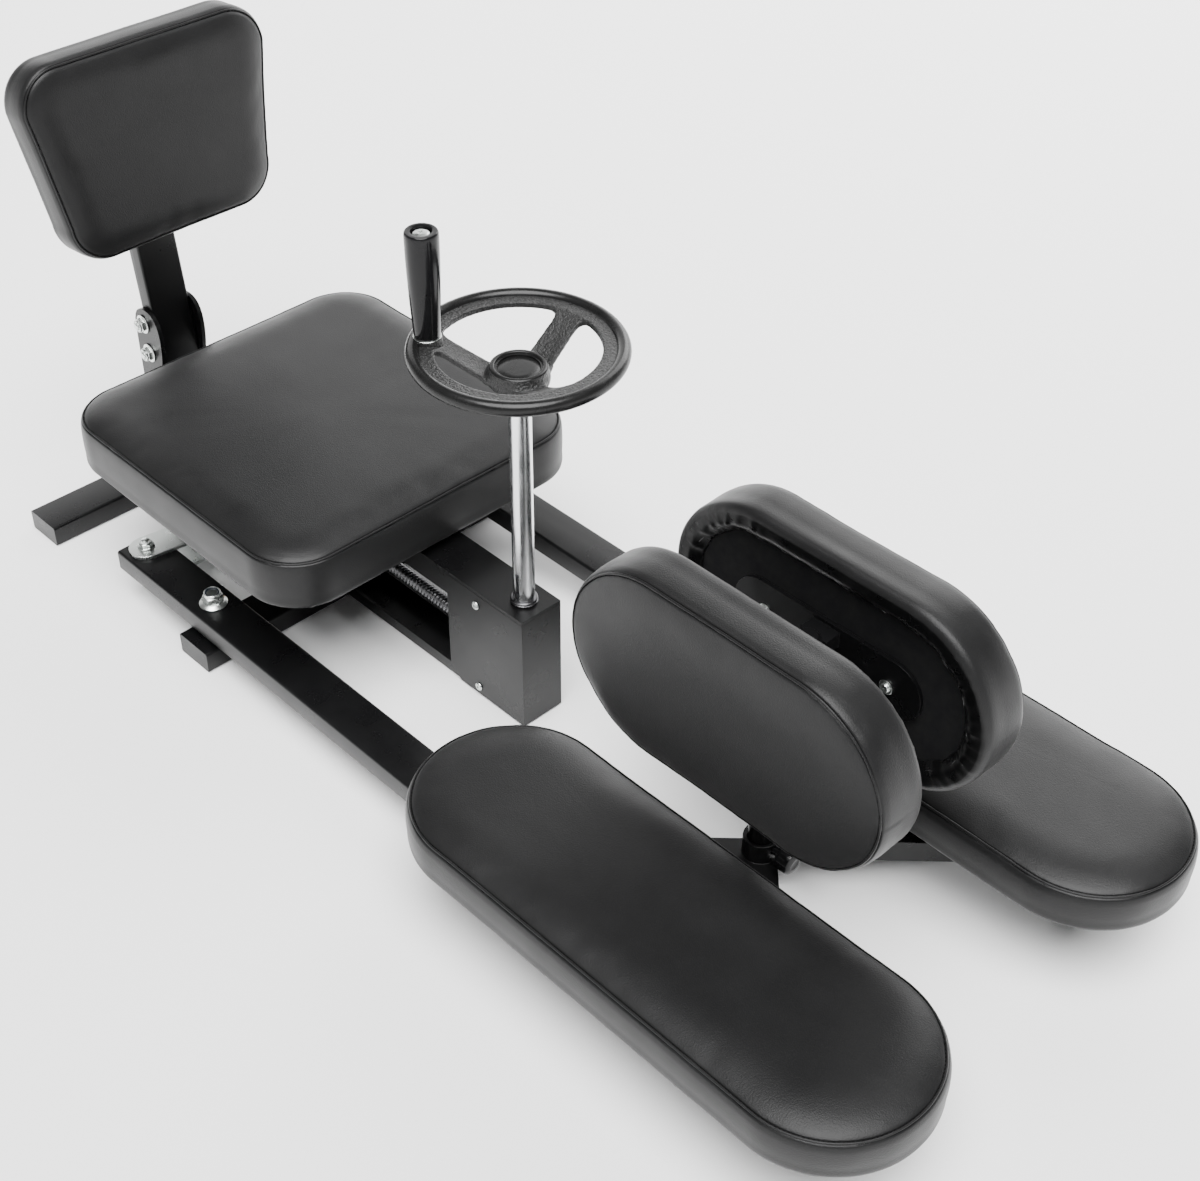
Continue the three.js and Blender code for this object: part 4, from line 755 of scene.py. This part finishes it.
thread = finish("black_thread", (0.003, 0.003, 0.003), (0.006, 0.006, 0.006), tone=300, rough=0.7, spread=0.1,
                grain=3000, depth=0.0001, gloss=0.2)


def outline_at(low, high, half, corner, inset, pitch):
    """Points round a four-sided outline with round corners, drawn in by an inset."""
    arc = max(12, int(corner * 1.571 / pitch))
    radius = max(corner - inset, 0.0012)
    corners = []
    for x, y, quarter in ((high, half, 0), (-high, half, 1), (-low, -half, 2), (low, -half, 3)):
        middle = np.array((x - math.copysign(inset + radius, x), y - math.copysign(inset + radius, y)))
        angles = (quarter + np.linspace(0, 1, arc + 1)) * math.pi / 2
        corners.append(middle + radius * np.column_stack((np.cos(angles), np.sin(angles))))
    points = []
    for index, arc_points in enumerate(corners):
        points.extend(arc_points)
        ahead = corners[(index + 1) % 4][0]
        length = (2 * high, 2 * half, 2 * low, 2 * half)[index] - 2 * corner
        count = max(int(length / pitch), 1)
        for step in range(1, count):
            points.append(arc_points[-1] + (ahead - arc_points[-1]) * step / count)
    return np.array(points)


def cushion_rings(depth, crown, reach, rim, bulge):
    """Inset, height and shrinking of each ring in millimetres, from under the board to the top."""
    rings = [(27.6, 0.9, 1), (27.3, -0.4, 1), (26.6, -1.1 - 0.04 * rim, 1), (24.2, -1.4 - 0.25 * rim, 1),
             (21.4, -1.5 - 0.62 * rim, 1), (18.4, -1.6 - 0.92 * rim, 1), (15, -1.6 - rim, 1),
             (12, -1.5 - rim, 1), (9.2, -1.4 - rim, 1), (6.6, -1.1 - rim, 1), (4.4, -0.4 - rim, 1),
             (2.5, 0.8 - 0.97 * rim, 1), (1.1 - 0.5 * bulge, 2.4 - 0.9 * rim, 1),
             (0.4 - 0.7 * bulge, 4.6 - 0.7 * rim, 1)]
    for share in np.linspace(0.14, 0.84, 10):
        inset = -(0.5 + bulge) * math.sin(math.pi * share) ** 0.7
        rings.append((inset, depth * share - 0.4 * rim * max(0.5 - share, 0), 1))
    rings += [(-0.15 * bulge, depth - 4.2, 1), (0.12, depth - 3.3, 1), (0.9, depth - 2.7, 1),
              (1.6, depth - 2.2, 1), (1.15, depth - 1.4, 1), (1.75, depth - 0.65, 1), (2.5, depth - 0.3, 1),
              (3.0, depth - 0.55, 1), (3.5, depth - 2.0, 1), (4.1, depth - 0.6, 1), (4.9, depth - 0.05, 1)]
    for share in np.linspace(0.05, 1, 15):
        rings.append((3.9 + (reach - 3.9) * share, depth + crown * (1 - (1 - share) ** 2.6), 1))
    for shrink in (0.85, 0.7, 0.55, 0.4, 0.27, 0.15, 0.06):
        rings.append((reach, depth + crown, shrink))
    return [(inset * mm, height * mm, shrink) for inset, height, shrink in rings]


rings_turned_in, rings_under, staple_ring, groove_ring = 9, 11, 4, 32
# Rings whose faces, in the seam's two grooves, take the darker vinyl as painted shade.
painted_shade_seam_rings = (26, 27, 31, 32)


def swell(points, faces, cap):
    """How far each point of a cover moves when the foam inside presses it out."""
    mesh = bpy.data.meshes.new("cover_before")
    mesh.from_pydata([tuple(p) for p in points], [], faces)
    cover = bpy.data.objects.new("cover", mesh)
    bpy.context.scene.collection.objects.link(cover)
    remesh = cover.modifiers.new("even", "REMESH")
    remesh.mode = "VOXEL"
    remesh.voxel_size = 0.006
    bake(cover)
    before = np.array([v.co for v in cover.data.vertices])
    cloth = cover.modifiers.new("cloth", "CLOTH")
    cloth.settings.effector_weights.gravity = 0
    cloth.settings.use_pressure = True
    cloth.settings.uniform_pressure_force = 4
    cloth.settings.tension_stiffness = 22
    cloth.settings.bending_stiffness = 0.4
    cloth.settings.quality = 4
    scene = bpy.context.scene
    last_frame = 20
    for number in range(1, last_frame + 1):
        scene.frame_set(number)
    after = cover.evaluated_get(bpy.context.evaluated_depsgraph_get()).data
    moved = np.array([v.co for v in after.vertices]) - before
    scene.frame_set(1)
    bpy.data.objects.remove(cover)
    length = np.linalg.norm(moved, axis=1, keepdims=True)
    moved *= np.minimum(1, cap / np.maximum(length, 1e-9))
    tree = KDTree(len(before))
    for index, point in enumerate(before):
        tree.insert(point, index)
    tree.balance()
    shift = np.zeros_like(points)
    for index, point in enumerate(points):
        near = tree.find_n(point, 6)
        weights = np.array([1 / (gap + 0.002) for _, _, gap in near])
        shift[index] = (moved[[place for _, place, _ in near]] * weights[:, None]).sum(0) / weights.sum()
    return shift


def row_tree(name, sizes, material, yaw):
    """Lays one small bar for each step of a path, along the path, turned by up to a random yaw."""
    sizes = tuple(zip(("Spacing", "Length", "Width", "Height"), sizes))
    tree, start, bars = open_tree(name, "Path", sizes, "Row")
    nodes, links = tree.nodes, tree.links
    tangent = nodes.new("GeometryNodeInputTangent")
    align = nodes.new("FunctionNodeAlignRotationToVector")
    align.axis = "Z"
    links.new(tangent.outputs["Tangent"], align.inputs["Vector"])
    sway = nodes.new("FunctionNodeRandomValue")
    sway.data_type = "FLOAT_VECTOR"
    sway.inputs[0].default_value = (-yaw, -yaw, 0)
    sway.inputs[1].default_value = (yaw, yaw, 0)
    sway.inputs["Seed"].default_value = 11
    twist = nodes.new("FunctionNodeRotateRotation")
    twist.rotation_space = "LOCAL"
    links.new(align.outputs["Rotation"], twist.inputs["Rotation"])
    links.new(sway.outputs[0], twist.inputs["Rotate By"])
    links.new(twist.outputs["Rotation"], bars.inputs["Rotation"])
    bar = nodes.new("GeometryNodeMeshUVSphere")
    bar.inputs["Segments"].default_value = 6
    bar.inputs["Rings"].default_value = 5
    bar.inputs["Radius"].default_value = 0.5
    scale = nodes.new("ShaderNodeCombineXYZ")
    links.new(start.outputs["Width"], scale.inputs["X"])
    links.new(start.outputs["Height"], scale.inputs["Y"])
    links.new(start.outputs["Length"], scale.inputs["Z"])
    links.new(scale.outputs["Vector"], bars.inputs["Scale"])
    links.new(bar.outputs["Mesh"], bars.inputs["Instance"])
    return close_tree(tree, bars, material, "Row")


stitches = row_tree("seam_stitches", (0.0038, 0.0027, 0.0007, 0.0007), thread, 0)
staples = row_tree("board_staples", (0.037, 0.0095, 0.0008, 0.0008), staple_wire, 0.2)


hem_reach = 0.027


def pleat_height(travel, inset, pleats):
    """How far the turned-in vinyl stands off the board, from its pleats."""
    share = min(max(inset / hem_reach, 0), 1)
    height = 0.0
    for place, size, skew, wide in pleats:
        off = travel - place - skew * inset
        height += size * share ** 0.7 * math.exp(-abs(off) / wide) * (1 if off > 0 else 0.55)
    return height


pressed = {}


def cushion(name, node, body, low, high, half, corner, depth, crown, reach, place, pitch=0.004, seed=0, rim=0.0,
            bulge=0.4):
    """A sewn cushion in its own frame, put in its place by a matrix.

    It is twice low wide at one end, twice high at the other and twice half long, with round corners.
    The rim is how far its back edge falls below the board, in millimetres, and the bulge how far the
    side band swells.
    """
    rings = cushion_rings(depth / mm, crown / mm, reach / mm, rim, bulge)
    border = outline_at(low, high, half, corner, 0, pitch)
    around = len(border)
    outlines = []
    for inset, _, shrink in rings:
        ring = outline_at(low, high, half, corner, inset, pitch)
        outlines.append(ring.mean(0) * (1 - shrink) + ring * shrink)
    points = np.concatenate([np.column_stack((ring, np.full(around, height)))
                             for ring, (_, height, _) in zip(outlines, rings)])
    faces = []
    for ring in range(len(rings) - 1):
        for step in range(around):
            a, b = ring * around + step, ring * around + (step + 1) % around
            faces.append((a, b, b + around, a + around))
    faces.append(tuple(reversed(range(around))))
    faces.append(tuple((len(rings) - 1) * around + step for step in range(around)))
    key = (low, high, half, depth)
    if key not in pressed:
        pressed[key] = swell(points, faces, cap=0.0018) * np.clip(points[:, 2:3] / 0.012, 0, 1)
    points = points + pressed[key]

    travel = np.concatenate(([0], np.cumsum(np.linalg.norm(np.diff(border, axis=0), axis=1))))
    tangent = np.roll(border, -1, axis=0) - np.roll(border, 1, axis=0)
    tangent /= np.linalg.norm(tangent, axis=1, keepdims=True)
    outward = np.column_stack((tangent[:, 1], -tangent[:, 0]))
    bend = np.linalg.norm(np.roll(tangent, -3, axis=0) - np.roll(tangent, 3, axis=0), axis=1)
    bend = np.clip(bend / max(bend.max(), 1e-6) * 1.4, 0, 1)
    dice = np.random.default_rng(40 + seed)
    pleats, at = [], 0.0
    while at < travel[-1]:
        tight = np.interp(at, travel, bend)
        pleats.append((at, (0.0007 + 0.002 * tight) * dice.uniform(0.5, 1.3), dice.uniform(-0.5, 0.5),
                       dice.uniform(0.0016, 0.0045)))
        at += dice.uniform(0.010, 0.021) if tight > 0.4 else dice.uniform(0.035, 0.085)
    for ring, (inset, height, shrink) in enumerate(rings):
        before, after = rings[max(ring - 1, 0)], rings[min(ring + 1, len(rings) - 1)]
        rise = np.array((after[1] - before[1], after[0] - before[0] + 1e-9))
        out_share, up_share = rise / np.linalg.norm(rise)
        if shrink < 1:
            out_share, up_share = 0, 1
        under = ring < rings_under
        near_seam = 0
        if not under and height > depth - 0.006:
            near_seam = math.exp(-abs(inset - rings[groove_ring][0]) / 0.004)
        band = 0 if under else max(0, math.sin(math.pi * min(max(height / depth, 0), 1)))
        for step in range(around):
            index = ring * around + step
            x, y, z = points[index]
            if under:
                off = -pleat_height(travel[step], inset, pleats) * (ring > 0)
                off += 0.0005 * noise.noise(Vector((travel[step] * 60, inset * 90, seed * 7.7)))
                points[index, 2] += off if ring > 0 else 0
                wave = 0.0022 * noise.noise(Vector((travel[step] * 45, 3.1, seed * 5.3)))
                wave *= (inset / hem_reach) ** 3
                points[index, :2] += outward[step] * wave
                continue
            slow = noise.noise(Vector((x * 14, y * 14, z * 14 + seed * 9.1)))
            push = 0.0004 * slow + 0.0002 * noise.noise(Vector((x * 38, y * 38, z * 20 + seed * 4.3)))
            push += 0.0007 * band * bend[step] * noise.noise(Vector((travel[step] * 34, z * 9, seed * 3.7)))
            push += 0.00028 * near_seam * noise.noise(Vector((travel[step] * 125, inset * 60, seed * 2.9)))
            points[index, :2] += outward[step] * push * out_share
            points[index, 2] += push * up_share
    world = np.array([place @ Vector(point) for point in points])
    shape = bmesh.new()
    made = [shape.verts.new(point) for point in world]
    for number, face in enumerate(faces):
        ring = number // around
        # The turned-in band, the seam's two grooves and the underside take the darker vinyl as painted shade.
        painted_shade_face = ring < rings_turned_in or ring in painted_shade_seam_rings or number == len(faces) - 2
        shape.faces.new([made[index] for index in face]).material_index = int(painted_shade_face)
    bmesh.ops.recalc_face_normals(shape, faces=shape.faces)
    piece = settle(shape, name, vinyl, body, smooth=80)
    piece.data.materials.append(painted_shade_vinyl)
    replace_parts(piece, node)
    lift = np.array(place.to_3x3() @ Vector((0, 0, mm)))
    seam = world[groove_ring * around:(groove_ring + 1) * around] + lift
    path_piece(name + "_stitches", [seam], True, stitches, body)
    hem = world[staple_ring * around:(staple_ring + 1) * around] - 0.3 * lift
    path_piece(name + "_staples", [hem], True, staples, body)


seat_middle = length_to_origin - 0.2963
cushion("seat_cushion", "seat_pad", "base", low=0.1983, high=0.1983, half=0.2012, corner=0.0605, depth=0.0552,
        crown=0.007, reach=0.05, place=Matrix.Translation((0, seat_middle + 0.002, 0.1481)), seed=1, bulge=1.2)
upright_back = Matrix.Translation((0.002, -0.0282, 0.3053)) @ Matrix.Rotation(math.radians(90), 4, "X")
cushion("back_cushion", "back_pad", "base", low=0.1285, high=0.1475, half=0.1092, corner=0.045, depth=0.0403,
        crown=0.007, reach=0.040, place=lean @ upright_back, seed=2, bulge=1.5)
for label, side in both_sides:
    leg_middle = Matrix.Translation((side * arm_line, length_to_origin - 0.9789, 0.0778))
    cushion(f"leg_cushion_{label}", f"leg_pad_{label}", f"{label}_arm", low=0.0958, high=0.0958, half=0.2824,
            corner=0.0952, depth=0.0428, crown=0.007, reach=0.055, place=leg_middle, seed=4 + side, bulge=1.9)
    upright_side = (Matrix.Translation((side * 0.0483, length_to_origin - bracket_middle, 0.2695))
                    @ Matrix.Rotation(side * math.pi / 2, 4, "Z") @ Matrix.Rotation(math.pi / 2, 4, "X"))
    cushion(f"side_cushion_{label}", f"side_pad_{label}", f"{label}_side_pad", low=0.1765, high=0.1765,
            half=0.0965, corner=0.0962, depth=0.0427, crown=0.005, reach=0.06, place=upright_side, pitch=0.003,
            seed=8 + side, rim=7, bulge=1.6)
